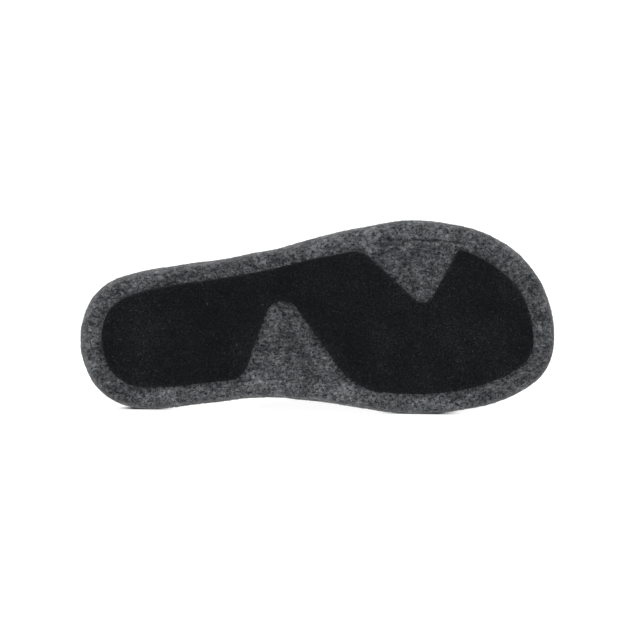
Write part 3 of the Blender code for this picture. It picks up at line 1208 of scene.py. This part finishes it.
@dataclass(frozen=True)
class FloorFinish:
    """White light table, which leaves hardly any shadow; painted shade darkens the thin gap where the
    shoe rests.
    """

    name: str
    brightness: float = 0.2
    glow: float = 0.95
    white: Triple = (1.0, 1.0, 1.0)
    shade_taper: float = 3.0
    mottle_size: float = 60.0
    mottle_contrast: float = 0.02
    roughness: float = 0.9
    specular: float = 0.1

    def shade(self, graph: Graph, place: Value) -> Value:
        """Return the share of painted shade: for each gap, a step along the shoe times two across it.

        Args:
            graph: Graph to add nodes to.
            place: Places in millimetres.

        Returns:
            The share, 0 to 1.
        """
        along = graph.node("ShaderNodeSeparateXYZ", None, {"Vector": place}, "X")
        across = graph.node("ShaderNodeSeparateXYZ", None, {"Vector": place}, "Y")
        share: Term = 0.0
        for row in PAINTED_CONTACT_SHADES:
            gap = abs(along - row.along).eased(row.reach, row.reach / self.shade_taper)
            share = gap * across.eased(row.start, row.full) * across.eased(row.end, row.fading) + share
        return share

    def material(self) -> bpy.types.Material:
        """Make the table: a white that glows and is faintly mottled, times one less the painted shade.

        Returns:
            The material.
        """
        graph = Graph(self.name)
        place = graph.place()
        # Painted shade: one less it darkens both the floor's colour and its glow
        light = 1.0 - self.shade(graph, place)
        mottle = graph.noise(place, self.mottle_size, 2.0) * self.mottle_contrast
        graph.set(
            Base_Color=graph.tinted(self.white, (self.brightness + mottle) * light),
            Roughness=self.roughness,
            Specular_IOR_Level=self.specular,
            Emission_Color=graph.tinted(self.white, light),
            Emission_Strength=self.glow,
        )
        return graph.material


def dress(made: bpy.types.Object, piece: Piece, material: bpy.types.Material, stands_in: bool) -> None:
    """Give a piece its finish and body.

    Args:
        made: The piece's object.
        piece: The CAD node it belongs to.
        material: Its finish.
        stands_in: Whether it stands for the node.
    """
    made.data.materials.append(material)
    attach(made, BODY)
    if stands_in:
        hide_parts(piece.node)
    LOG.info("%s: %d points, %d faces", made.name, len(made.data.vertices), len(made.data.polygons))


@dataclass(frozen=True)
class Nap:
    """Loose hairs on a felt skin: tapered strips that lie nearly flat."""

    count: int
    length: float
    width: float
    lift: float
    seed: int
    sections: int = 4
    shortest: float = 0.4
    longest: float = 1.3
    curl: float = 0.35
    least_lift: float = 0.1
    arching: float = 2.2
    taper: float = 0.85

    def grown(self, skin: Skin, shown: Array) -> Skin:
        """Grow hairs on the shown points' faces.

        A hair leaves its root along a chance way in the surface, bends to one side with the square
        of the share along it, and rises by the sine of it. Its strip narrows with that square.

        Args:
            skin: Felt to grow on.
            shown: Whether each point of it shows, 0 or 1.

        Returns:
            The hairs, joined in one skin, with a shade for each.
        """
        chance = np.random.default_rng(self.seed)
        faces = skin.faces[shown[skin.faces].min(axis=1) > 0.5]
        corners = skin.points[faces]
        area = np.linalg.norm(
            np.cross(corners[:, 2] - corners[:, 0], corners[:, 3] - corners[:, 1]), axis=1
        )
        picked = faces[chance.choice(len(faces), self.count, p=area / area.sum())]
        weight = chance.dirichlet(np.ones(4), self.count)
        root = (skin.points[picked] * weight[..., None]).sum(axis=1)
        normal = (skin.normals[picked] * weight[..., None]).sum(axis=1)
        normal /= np.linalg.norm(normal, axis=1, keepdims=True)
        way = np.cross(normal, chance.normal(size=(self.count, 3)))
        way /= np.linalg.norm(way, axis=1, keepdims=True)
        aside = np.cross(normal, way)
        length = self.length * chance.uniform(self.shortest, self.longest, self.count)
        curl = chance.normal(0.0, self.curl, self.count)
        rise = self.lift * chance.uniform(self.least_lift, 1.0, self.count) ** 2
        share = np.linspace(0.0, 1.0, self.sections)
        path = root[:, None] + (length[:, None] * share)[..., None] * way[:, None]
        path = path + ((length * curl)[:, None] * share ** 2)[..., None] * aside[:, None]
        arch = np.sin(share * self.arching)
        path = path + ((length * rise)[:, None] * arch)[..., None] * normal[:, None]
        roll = chance.uniform(0.0, math.pi, self.count)[:, None]
        flat = np.cos(roll) * aside + np.sin(roll) * normal
        half = self.width / 2.0 * (1.0 - self.taper * share ** 2)
        edge = flat[:, None] * half[None, :, None]
        points = np.stack([path - edge, path + edge], axis=2).reshape(-1, 3)
        first = (np.arange(self.count)[:, None] * self.sections + np.arange(self.sections - 1)) * 2
        strips = np.stack([first, first + 1, first + 3, first + 2], axis=-1).reshape(-1, 4)
        shade = np.repeat(chance.uniform(0.0, 1.0, self.count), self.sections * 2)
        return Skin.around(points, strips, {"shade": shade})


@dataclass(frozen=True)
class FeltPiece:
    """What the felt pieces share: the last, a finish, a loose nap and soft unevenness."""

    last: Last
    finish: FeltFinish
    nap: Nap
    lumps: tuple[Lumps, ...]

    def uneven(self, skin: Skin, shown: Array) -> Skin:
        """Return a skin raised by the sum of the lumps, times whether each point shows."""
        return skin.raised(sum(lump.at(skin.points) for lump in self.lumps) * shown)

    def lay(self, skin: Skin, piece: Piece, haired: Array, pose: LyingPose) -> None:
        """Put the piece and its nap into the scene and dress them.

        Args:
            skin: The piece's finished skin.
            piece: The CAD node it stands for.
            haired: Whether hairs grow at each point, 0 or 1.
            pose: The lying pose.
        """
        felt = skin.to_object(f"felt_{piece.node}", pose)
        dress(felt, piece, self.finish.material(), True)
        hairs = self.nap.grown(skin, haired).to_object(f"{piece.node}_nap", pose)
        dress(hairs, piece, NapFinish(f"{piece.node}_hairs").material(), False)


@dataclass(frozen=True)
class FeltSole(FeltPiece):
    """Felt sole: creased underside, rolled edge, rim, rebate for the insole and dished seat."""

    finish: FeltFinish = FeltFinish("sole_felt")
    nap: Nap = Nap(count=26000, length=1.5, width=0.07, lift=0.35, seed=31)
    lumps: tuple[Lumps, ...] = (Lumps(26.0, 0.16, 11), Lumps(7.5, 0.07, 12), Lumps(3.2, 0.03, 13))
    side_rows: int = 440
    edge_columns: int = 56
    rim_columns: int = 4
    rebate_columns: int = 3
    seat_columns: int = 8
    under_columns: int = 52
    seat_lattice: int = 14
    crease_depth: float = 0.6
    crease_width: float = 0.7
    crease_lip: float = 0.4
    crease_lip_away: float = 1.5
    # Reach and fade, in from the outline, of the painted light and shade along the edge
    tone_reach: float = 9.0
    tone_fade: float = 5.0
    outline_samples: int = 240
    pad_reach: float = 1.5

    def edge_profile(self) -> tuple[Array, Array]:
        """Return insets and rises along a smooth curve through the rows of the sole's side.

        Returns:
            Both, read at even steps along the path through the rows, for a rim of typical height.
        """
        inset = np.array([row.inset for row in EDGE])
        rise = np.array([row.rise for row in EDGE])
        typical_height = HEIGHTS.column("rim").mean()
        steps = np.hypot(np.diff(inset), np.diff(rise) * typical_height)
        knots = np.concatenate([[0.0], np.cumsum(steps)])
        at = np.linspace(0.0, knots[-1], self.edge_columns + 1)
        return spline(at, knots, inset), spline(at, knots, rise)

    def creases(self, x: Array, y: Array, inset: Array) -> tuple[Array, Array]:
        """Return the creases under the edge, bells of the distance from their paths.

        Args:
            x: Places along.
            y: Places across.
            inset: Their distance in from the outline.

        Returns:
            Shares of the troughs, and of the lips that they raise on their outer side.
        """
        press = np.zeros_like(x)
        lip = np.zeros_like(x)
        for row in SOLE_CREASES:
            away = row.across(x, inset) / self.crease_width
            press = press + row.at(x, y) * np.exp(-away ** 2)
            lip = lip + row.at(x, y) * np.exp(-(away + self.crease_lip_away) ** 2)
        return press, lip

    def ring_grid(self, turn: Array, inset: Array) -> tuple[Array, Array]:
        """Return places along and across for every angle and inset, as a grid."""
        plan = self.last.inset_outline(turn[:, None], np.broadcast_to(inset, (len(turn), len(inset))))
        return plan[..., 0], plan[..., 1]

    def skin(self) -> Skin:
        """Sew the sole: rings from the underside round the edge to the seat, and two lattices.

        Returns:
            The skin, marked with the creases' press, which also carries their painted shade, and with
            what stays hidden.
        """
        last = self.last
        turn = np.arange(2 * self.side_rows) * math.pi / self.side_rows
        shell = Shell(("press", "hidden"))
        inset, rise = self.edge_profile()
        x, y = self.ring_grid(turn, inset)
        low = last.sole_bottom(x, y)
        press, lip = self.creases(x, y, np.broadcast_to(inset, x.shape))
        z = low + rise * (last.rim_top(x) - low) + self.crease_depth * (press - self.crease_lip * lip)
        edge = np.stack([x, y, z], axis=-1)
        # The troughs' share also carries the painted shade along the creases
        shell.add(edge, wraps=True, press=press)
        rim = np.linspace(inset[-1], last.rim_width, self.rim_columns + 1)
        x, y = self.ring_grid(turn, rim)
        shell.add(np.stack([x, y, last.rim_top(x)], axis=-1), wraps=True)
        foot = last.rim_width + last.rebate_slope
        wall = np.linspace(last.rim_width, foot, self.rebate_columns + 1)
        x, y = self.ring_grid(turn, wall)
        fall = np.linspace(0.0, 1.0, self.rebate_columns + 1)
        top = last.rim_top(x)
        z = top + fall * (last.seat(x, y, foot) - top)
        shell.add(np.stack([x, y, z], axis=-1), wraps=True, hidden=1.0)
        dish = np.linspace(foot, foot + last.dish_run, self.seat_columns + 1)
        x, y = self.ring_grid(turn, dish)
        seat = np.stack([x, y, last.seat(x, y, dish)], axis=-1)
        shell.add(seat, wraps=True, hidden=1.0)
        under = lattice(edge[:, 0], np.linspace(0.0, 1.0, self.under_columns + 1))
        under[:, 1:-1, 2] = last.sole_bottom(under[:, 1:-1, 0], under[:, 1:-1, 1])
        shell.add(under, flipped=True)
        floor = lattice(seat[:, -1], np.linspace(0.0, 1.0, self.seat_lattice + 1))
        floor[:, 1:-1, 2] = last.seat(floor[:, 1:-1, 0], floor[:, 1:-1, 1], dish[-1])
        shell.add(floor, hidden=1.0)
        return shell.sewn()

    def tone(self, points: Array) -> Array:
        """Return the painted light and shade of the felt at points, as how much lighter it is.

        Args:
            points: Points of the sole.

        Returns:
            The painted light and shade along the edge, eased out with the distance from the outline, plus
            the painted shade of the notch spots.
        """
        x, y = points[:, 0], points[:, 1]
        loop = self.last.outline(FULL_TURN * np.arange(self.outline_samples) / self.outline_samples)
        inset = distance_to(loop, points[:, :2])
        near = 1.0 - smooth_step((inset - self.tone_reach) / self.tone_fade)
        return near * sum(row.at(x, y) for row in EDGE_PAINTED_LIGHT) + sum(row.at(x, y) for row in NOTCH_PAINTED_SHADE)

    def build(self, pose: LyingPose, pad: "TreadPad") -> None:
        """Build and dress the sole and its nap, bare of hairs where insole and pad cover it.

        Args:
            pose: The lying pose.
            pad: The tread pad, whose outline covers the felt.
        """
        skin = self.skin()
        shown = 1.0 - skin.marks["hidden"]
        skin = self.uneven(skin, shown)
        # Painted light and shade along the edge and in the notches
        skin.marks["tone"] = self.tone(skin.points)
        bottom = self.last.sole_bottom(skin.points[:, 0], skin.points[:, 1])
        covered = pad.covers(skin.points) * (skin.points[:, 2] < bottom + self.pad_reach)
        self.lay(skin, Piece.SOLE, shown * (1.0 - covered), pose)


@dataclass(frozen=True)
class FeltInsole(FeltPiece):
    """Felt insole: a layer of even thickness with a rounded edge, lying in the sole's seat."""

    finish: FeltFinish = FeltFinish("insole_felt", brightness=0.068, relief=0.28)
    nap: Nap = Nap(count=9000, length=1.2, width=0.06, lift=0.3, seed=33)
    lumps: tuple[Lumps, ...] = (Lumps(30.0, 0.22, 21), Lumps(9.0, 0.06, 22))
    rows: int = 300
    edge_columns: int = 16
    lattice_columns: int = 44
    edge_round: float = 1.1
    edge_pull: float = 0.85

    def skin(self) -> Skin:
        """Sew the layer: its middle surface, lifted and lowered by half its rounded thickness.

        Returns:
            The skin, with its lower face marked as hidden.
        """
        last = self.last
        edge = last.rim_width + last.rebate_slope + last.gap
        inset = edge + last.dish_run * even_shares(self.edge_columns, self.edge_pull, 0.0)
        turn = math.pi * np.arange(self.rows + 1) / self.rows
        insets = np.broadcast_to(inset, (len(turn), len(inset)))
        lateral = last.inset_outline(turn[:, None], insets)
        medial = last.inset_outline(FULL_TURN - turn[:, None], insets)
        share = np.linspace(0.0, 1.0, self.lattice_columns + 1)[1:-1, None]
        inner = lateral[:, -1:] + (medial[:, -1:] - lateral[:, -1:]) * share
        plan = np.concatenate([lateral, inner, medial[:, ::-1]], axis=1)
        from_edge = np.concatenate([inset, np.full(len(share), inset[-1]), inset[::-1]])
        x, y = plan[..., 0], plan[..., 1]
        middle = last.seat(x, y, from_edge) + last.gap + last.insole_thick / 2.0
        half = last.insole_thick / 2.0 * rounded_share(from_edge - edge, self.edge_round)
        shell = Shell(("hidden",))
        shell.add(np.stack([x, y, middle + half], axis=-1))
        shell.add(np.stack([x, y, middle - half], axis=-1), flipped=True, hidden=1.0)
        return shell.sewn()

    def build(self, pose: LyingPose) -> None:
        """Build and dress the insole and the nap on its upper face.

        Args:
            pose: The lying pose.
        """
        skin = self.skin()
        shown = 1.0 - skin.marks["hidden"]
        self.lay(self.uneven(skin, shown), Piece.INSOLE, shown, pose)


@dataclass(frozen=True)
class FeltUpper(FeltPiece):
    """Felt vamp: one moulded wall, closed at the toe, open at throat, heel and underneath."""

    finish: FeltFinish = FeltFinish("upper_felt", brightness=0.064)
    nap: Nap = Nap(count=28000, length=1.5, width=0.07, lift=0.35, seed=35)
    lumps: tuple[Lumps, ...] = (Lumps(34.0, 0.28, 41), Lumps(10.0, 0.09, 42), Lumps(4.0, 0.03, 43))
    wall: float = 4.0
    base_inset: float = 2.4
    throat_along: float = 0.53
    side_along_lateral: float = 0.37
    side_along_medial: float = 0.33
    collar_sweep: float = 0.85
    edge_round: float = 1.7
    sewn_down: float = 1.0
    sewn_run: float = 8.0
    rows: int = 130
    columns: int = 250
    column_samples: int = 20
    foot_pull: float = 0.7
    collar_pull: float = 0.75
    ridge_share: float = 0.45
    ridge_away: float = 2.0

    def collar_along(self, rise: Array, medial: Array) -> Array:
        """Return where the rear edge lies, from its rise and its share to the medial side."""
        side = self.side_along_lateral + (self.side_along_medial - self.side_along_lateral) * medial
        return side + (self.throat_along - side) * rise ** self.collar_sweep

    def outside(self, turn: Array, arc: Array) -> Array:
        """Return points of the outside, a squared ellipse over the foot at each place along it.

        Args:
            turn: Angles along the shoe.
            arc: Angles over the foot, 0 lateral to pi medial.

        Returns:
            Points, with a root of the cosine across, a root of the sine up, the ridge shifted to
            the medial side and the walls bulged half way up.
        """
        last = self.last
        lateral = last.inset_outline(turn, np.full_like(turn, self.base_inset))
        medial = last.inset_outline(FULL_TURN - turn, np.full_like(turn, self.base_inset))
        side = np.sign(np.cos(arc))
        across = 0.5 - 0.5 * side * np.abs(np.cos(arc)) ** (2.0 / SECTIONS.read("crown", turn))
        rise = np.abs(np.sin(arc)) ** (2.0 / SECTIONS.read("wall", turn))
        plan = lateral + (medial - lateral) * across[..., None]
        bulge = SECTIONS.read("bulge", turn) * np.sin(math.pi * rise) * side
        x = plan[..., 0]
        y = plan[..., 1] + SECTIONS.read("shift", turn) * rise ** 2 - bulge
        z = last.rim_top(x) + last.gap + SECTIONS.read_rounded("ridge", turn) * rise
        return np.stack([x, y, z], axis=-1)

    def even_arcs(self) -> Array:
        """Return angles over the foot that divide a section at the throat evenly, closer at its feet.

        Returns:
            Angles from 0 to pi, read at shares of the section's length that crowd towards its feet.
        """
        fine = np.linspace(0.0, math.pi, self.column_samples * self.columns)
        section = self.outside(np.full_like(fine, turn_of(self.throat_along)), fine)
        steps = np.linalg.norm(np.diff(section, axis=0), axis=1)
        length = np.concatenate([[0.0], np.cumsum(steps)])
        shares = even_shares(self.columns, self.foot_pull, self.foot_pull)
        return np.interp(shares * length[-1], length, fine)

    def creases(self, points: Array, over: Array) -> Array:
        """Return the creases' height: troughs with a low ridge on either side.

        Args:
            points: Points of the upper.
            over: Share over the foot, 0 lateral to 1 medial.

        Returns:
            Heights, negative in a trough.
        """
        height = np.zeros_like(over)
        for row in CREASES:
            offset = (over - row.over) / row.reach
            path = (row.along - row.bow * offset ** 2) * self.last.length
            away = (points[..., 0] - path) / row.width
            window = smooth_step(1.0 - np.abs(offset))
            ridge = self.ridge_share * np.exp(-((np.abs(away) - self.ridge_away) ** 2))
            height = height + row.depth * window * (-np.exp(-away ** 2) + ridge)
        return height

    def skin(self) -> Skin:
        """Sew the wall: its middle surface, with half its thickness rounded off towards its edges.

        Returns:
            The skin: the middle surface, half the wall inside the creased outside, plus and minus that
            half.
        """
        arc = self.even_arcs()
        start = turn_of(self.collar_along(np.sin(arc), 0.5 - 0.5 * np.cos(arc)))
        share = even_shares(self.rows, self.collar_pull, 0.0)[:, None]
        turn = start + (math.pi - start) * share
        over = np.broadcast_to(arc / math.pi, turn.shape)
        points = self.outside(turn, over * math.pi)
        points[-1] = points[-1].mean(axis=0)
        down = np.gradient(points, axis=0)
        across = np.gradient(points, axis=1)
        normal = np.cross(down, across)
        normal[-1] = normal[-2].sum(axis=0)
        normal /= np.linalg.norm(normal, axis=-1, keepdims=True)
        middle = points + normal * (self.creases(points, over) - self.wall / 2.0)[..., None]
        girth = np.linalg.norm(np.diff(points, axis=1), axis=-1)
        from_lateral = np.concatenate([np.zeros((len(points), 1)), np.cumsum(girth, axis=1)], axis=1)
        from_base = np.minimum(from_lateral, from_lateral[:, -1:] - from_lateral)
        steps = np.linalg.norm(np.diff(points, axis=0), axis=-1)
        from_collar = np.concatenate([np.zeros((1, len(arc))), np.cumsum(steps, axis=0)], axis=0)
        half = self.wall / 2.0 * rounded_share(from_collar, self.edge_round)
        half = (half * rounded_share(from_base, self.edge_round))[..., None]
        half[0] = half[-1] = half[:, 0] = half[:, -1] = 0.0
        middle[..., 2] -= self.sewn_down * (1.0 - smooth_step(from_base / self.sewn_run))
        shell = Shell()
        shell.add(middle + normal * half)
        shell.add(middle - normal * half, flipped=True)
        return shell.sewn()

    def build(self, pose: LyingPose) -> None:
        """Build and dress the upper and its nap, inside and out.

        Args:
            pose: The lying pose.
        """
        skin = self.skin()
        shown = np.ones(len(skin.points))
        self.lay(self.uneven(skin, shown), Piece.UPPER, shown, pose)


@dataclass(frozen=True)
class TreadPad:
    """Tread pad: one thin sheet, with a flex notch and an arch notch cut in and its edge eased."""

    last: Last
    finish: PadFinish = PadFinish("tread_black")
    notch_lead: float = 0.02
    edge_step: float = 0.8
    fillet_step: float = math.radians(4.0)
    curve_samples: int = 800
    rows: int = 420
    columns: int = 40
    corner: float = 0.7
    corner_steps: int = 6
    side_steps: int = 3
    edge_pull: float = 0.8
    rim_fade: float = 1.3
    cut_ease: float = 3.0

    def rim(self, turn: Union[float, Array]) -> Array:
        """Return the pad's rim before its notches, inside the bare felt.

        Args:
            turn: Angles around the outline.

        Returns:
            Places along and across: the outline moved in by the bare felt of its side.
        """
        turn = np.mod(turn, FULL_TURN)
        lateral = BARE_RIM.read("lateral", fold(turn))
        medial = BARE_RIM.read("medial", fold(turn))
        return self.last.inset_outline(turn, np.where(turn > math.pi, medial, lateral))

    def rim_turn_at(self, x: float, side: Side) -> float:
        """Return the angle at which the rim reaches a distance from the heel on one side.

        Args:
            x: Place along.
            side: Side of the foot.

        Returns:
            The angle, read between samples of the rim.
        """
        turns = np.linspace(0.0, math.pi, self.curve_samples)
        if side is Side.MEDIAL:
            turns = FULL_TURN - turns
        return float(np.interp(x, self.rim(turns)[:, 0], turns))

    def rim_stretch(self, start: float, end: float) -> Array:
        """Return evenly spaced points along the rim between two angles, without its ends.

        Args:
            start: First angle.
            end: Last angle.

        Returns:
            Points at even steps of the rim's length.
        """
        turns = np.linspace(start, end, self.curve_samples)
        steps = np.linalg.norm(np.diff(self.rim(turns), axis=0), axis=1)
        length = np.concatenate([[0.0], np.cumsum(steps)])
        places = np.linspace(0.0, length[-1], round(length[-1] / self.edge_step) + 1)[1:-1]
        return self.rim(np.interp(places, length, turns))

    def fillet(self, before: Array, corner: Array, after: Array, radius: float) -> Array:
        """Return points of the arc that touches both legs of a corner.

        Args:
            before: A point on the leg that comes in.
            corner: The corner.
            after: A point on the leg that goes out.
            radius: The arc's radius.

        Returns:
            Points along the arc.
        """
        back = (before - corner) / np.linalg.norm(before - corner)
        on = (after - corner) / np.linalg.norm(after - corner)
        half = math.acos(float(np.clip(back @ on, -1.0, 1.0))) / 2.0
        bisector = (back + on) / np.linalg.norm(back + on)
        centre = corner + bisector * radius / math.sin(half)
        first = corner + back * radius / math.tan(half) - centre
        last = corner + on * radius / math.tan(half) - centre
        sweep = math.atan2(first[0] * last[1] - first[1] * last[0], float(first @ last))
        angle = np.linspace(0.0, sweep, math.ceil(abs(sweep) / self.fillet_step) + 1)[:, None]
        aside = np.array([-first[1], first[0]])
        return centre + np.cos(angle) * first + np.sin(angle) * aside

    def notch(self, corners: Sequence[NotchCorner], side: Side) -> tuple[Array, float, float]:
        """Return a notch's rounded outline, and the rim's angles where it begins and ends.

        Args:
            corners: Corners of the notch, in the order of the angles.
            side: Side that it is cut into.

        Returns:
            Points of the arcs at its corners, and the angles at which the first and the last meet the
            rim.
        """
        turns = [self.rim_turn_at(corner.along, side) for corner in corners]
        path = [self.rim(turns[0] - self.notch_lead)]
        for corner, turn in zip(corners, turns):
            on_rim = corner.across is None
            path.append(self.rim(turn) if on_rim else np.array([corner.along, corner.across]))
        path.append(self.rim(turns[-1] + self.notch_lead))
        arcs = []
        for before, at, after, corner in zip(path, path[1:], path[2:], corners):
            arcs.append(self.fillet(before, at, after, corner.radius))
        points = np.concatenate(arcs)
        return points, self.rim_turn_at(points[0, 0], side), self.rim_turn_at(points[-1, 0], side)

    def sides(self) -> tuple[Array, Array]:
        """Return the outline's lateral and medial side, each from heel to toe.

        Returns:
            Places along and across for both: stretches of the rim with the notch between them.
        """
        flex, flex_start, flex_end = self.notch(FLEX_NOTCH, Side.LATERAL)
        hollow, hollow_start, hollow_end = self.notch(ARCH_NOTCH, Side.MEDIAL)
        tip = self.rim(np.array([0.0, math.pi]))
        heel_lateral = self.rim_stretch(0.0, flex_start)
        toe_lateral = self.rim_stretch(flex_end, math.pi)
        heel_medial = self.rim_stretch(FULL_TURN, hollow_end)
        toe_medial = self.rim_stretch(hollow_start, math.pi)
        lateral = np.concatenate([tip[:1], heel_lateral, flex, toe_lateral, tip[1:]])
        medial = np.concatenate([tip[:1], heel_medial, hollow[::-1], toe_medial, tip[1:]])
        return lateral, medial

    def covers(self, points: Array) -> Array:
        """Return 1 for points over the pad, and 0 for the others.

        Args:
            points: Points of the sole.

        Returns:
            Whether each lies between the sides and the ends of the outline, 0 or 1.
        """
        lateral, medial = self.sides()
        x, y = points[:, 0], points[:, 1]
        between = (y > np.interp(x, *lateral.T)) & (y < np.interp(x, *medial.T))
        ends = (x > lateral[0, 0]) & (x < lateral[-1, 0])
        return (between & ends).astype(float)

    def wear(self, points: Array) -> Array:
        """Return the wear at points, the sum of the worn spots."""
        return sum(spot.at(points[..., 0], points[..., 1]) for spot in WEAR_SPOTS)

    def skin(self) -> Skin:
        """Sew the sheet: an eased edge carried round the outline, a tread face and a glued face.

        Returns:
            The skin, marked with wear, with the rim that is lighter near the edge, and with the painted
            highlight of the cut edge.
        """
        lateral, medial = self.sides()
        angle = math.pi * np.arange(self.rows + 1) / self.rows
        x = lateral[0, 0] + (lateral[-1, 0] - lateral[0, 0]) * (1.0 - np.cos(angle)) / 2.0
        near = np.column_stack([x, np.interp(x, *lateral.T)])
        far = np.column_stack([x, np.interp(x, *medial.T)])
        loop = np.concatenate([near, far[-2:0:-1]])
        tangent = np.roll(loop, -1, axis=0) - np.roll(loop, 1, axis=0)
        tangent /= np.linalg.norm(tangent, axis=1, keepdims=True)
        inward = np.column_stack([-tangent[:, 1], tangent[:, 0]])
        bend = np.linspace(0.0, math.pi / 2.0, self.corner_steps + 1)
        side = np.linspace(self.corner, self.last.pad_thick, self.side_steps + 1)[1:]
        inset = np.concatenate([self.corner * (1.0 - np.sin(bend)), np.zeros(self.side_steps)])
        height = np.concatenate([self.corner * (1.0 - np.cos(bend)), side])
        plan = loop[:, None] + inward[:, None] * inset[None, :, None]
        z = self.last.ground(plan[..., 0]) + height
        edge = np.concatenate([plan, z[..., None]], axis=-1)
        # Painted highlight where the cut edge catches the overhead light
        pale = sum(row.at(plan[..., 0], plan[..., 1]) for row in PAINTED_HIGHLIGHT_CUTS)
        cut = pale * smooth_step(height / self.corner * self.cut_ease)
        shell = Shell(("wear", "rim", "cut"))
        shell.add(edge, wraps=True, cut=cut, rim=1.0, wear=self.wear(edge))
        shares = even_shares(self.columns, self.edge_pull, self.edge_pull)
        tread = lattice(edge[:, 0], shares)
        tread[:, 1:-1, 2] = self.last.ground(tread[:, 1:-1, 0])
        rim = np.exp(-distance_to(loop, tread[..., :2]) / self.rim_fade)
        shell.add(tread, flipped=True, rim=rim, wear=self.wear(tread))
        glued = lattice(edge[:, -1], shares)
        glued[:, 1:-1, 2] = self.last.ground(glued[:, 1:-1, 0]) + self.last.pad_thick
        shell.add(glued)
        return shell.sewn()

    def build(self, pose: LyingPose) -> None:
        """Build and dress the pad."""
        dress(self.skin().to_object("tread_pad", pose), Piece.PAD, self.finish.material(), True)


@dataclass(frozen=True)
class Studio:
    """Pale floor, soft light from all round and above, and a camera square to the tread."""

    floor_radius: float = 30.0
    floor_rings: int = 24
    floor_spokes: int = 96
    surround: float = 1.15
    surround_colour: Paint = (1.0, 1.0, 1.0, 1.0)
    overhead: float = 2.6
    overhead_spread: float = math.radians(60.0)
    overhead_lean: float = math.radians(8.0)
    middle: Triple = (136.4, -3.55, 10.0)
    picture_width: float = 364.7
    distance: float = 3200.0
    sensor: float = 36.0

    def lay_floor(self) -> None:
        """Lay a round floor: rings whose radius grows with the square of their number."""
        radius = self.floor_radius * (np.arange(self.floor_rings + 1) / self.floor_rings) ** 2
        angle = FULL_TURN * np.arange(self.floor_spokes) / self.floor_spokes
        x = np.cos(angle)[:, None] * radius
        y = np.sin(angle)[:, None] * radius
        shell = Shell()
        shell.add(np.stack([x, y, np.zeros_like(x)], axis=-1) * TO_MM, wraps=True, flipped=True)
        still = LyingPose(np.eye(3), np.zeros(3))
        floor = shell.sewn().to_object("studio_floor", still)
        floor.data.materials.append(FloorFinish("floor_white").material())

    def hang_lights(self) -> None:
        """Light the scene from a white surround and a wide soft light overhead."""
        world = bpy.data.worlds.new("white_surround")
        world.use_nodes = True
        background = world.node_tree.nodes["Background"]
        background.inputs["Color"].default_value = self.surround_colour
        background.inputs["Strength"].default_value = self.surround
        bpy.context.scene.world = world
        light = bpy.data.lights.new("overhead_light", "SUN")
        light.energy = self.overhead
        light.angle = self.overhead_spread
        lamp = bpy.data.objects.new("overhead_light", light)
        lamp.rotation_euler = (self.overhead_lean, 0.0, 0.0)
        bpy.context.scene.collection.objects.link(lamp)

    def set_camera(self, pose: LyingPose) -> None:
        """Set the camera square to the tread, with the picture's width at the sole's outline.

        Args:
            pose: The lying pose.
        """
        lens = bpy.data.cameras.new("tread_camera")
        lens.sensor_width = self.sensor
        lens.lens = self.sensor * self.distance / self.picture_width
        camera = bpy.data.objects.new("tread_camera", lens)
        camera.matrix_world = pose.looking_at_tread(np.array(self.middle), self.distance)
        bpy.context.scene.collection.objects.link(camera)
        bpy.context.scene.camera = camera

    def build(self, pose: LyingPose) -> None:
        """Build the studio and choose plain colours for the picture.

        Args:
            pose: The lying pose.
        """
        self.lay_floor()
        self.hang_lights()
        self.set_camera(pose)
        bpy.context.scene.view_settings.view_transform = "Standard"


def main() -> None:
    """Build the studio and every piece of the shoe."""
    logging.basicConfig(level=logging.INFO, format="%(name)s: %(message)s")
    last = Last()
    sole = FeltSole(last)
    pose = LyingPose.from_frame(sole.skin().points, YAW)
    LOG.info("pose: %s", pose)
    pad = TreadPad(last)
    Studio().build(pose)
    sole.build(pose, pad)
    FeltInsole(last).build(pose)
    FeltUpper(last).build(pose)
    pad.build(pose)


if __name__ == "__main__":
    main()
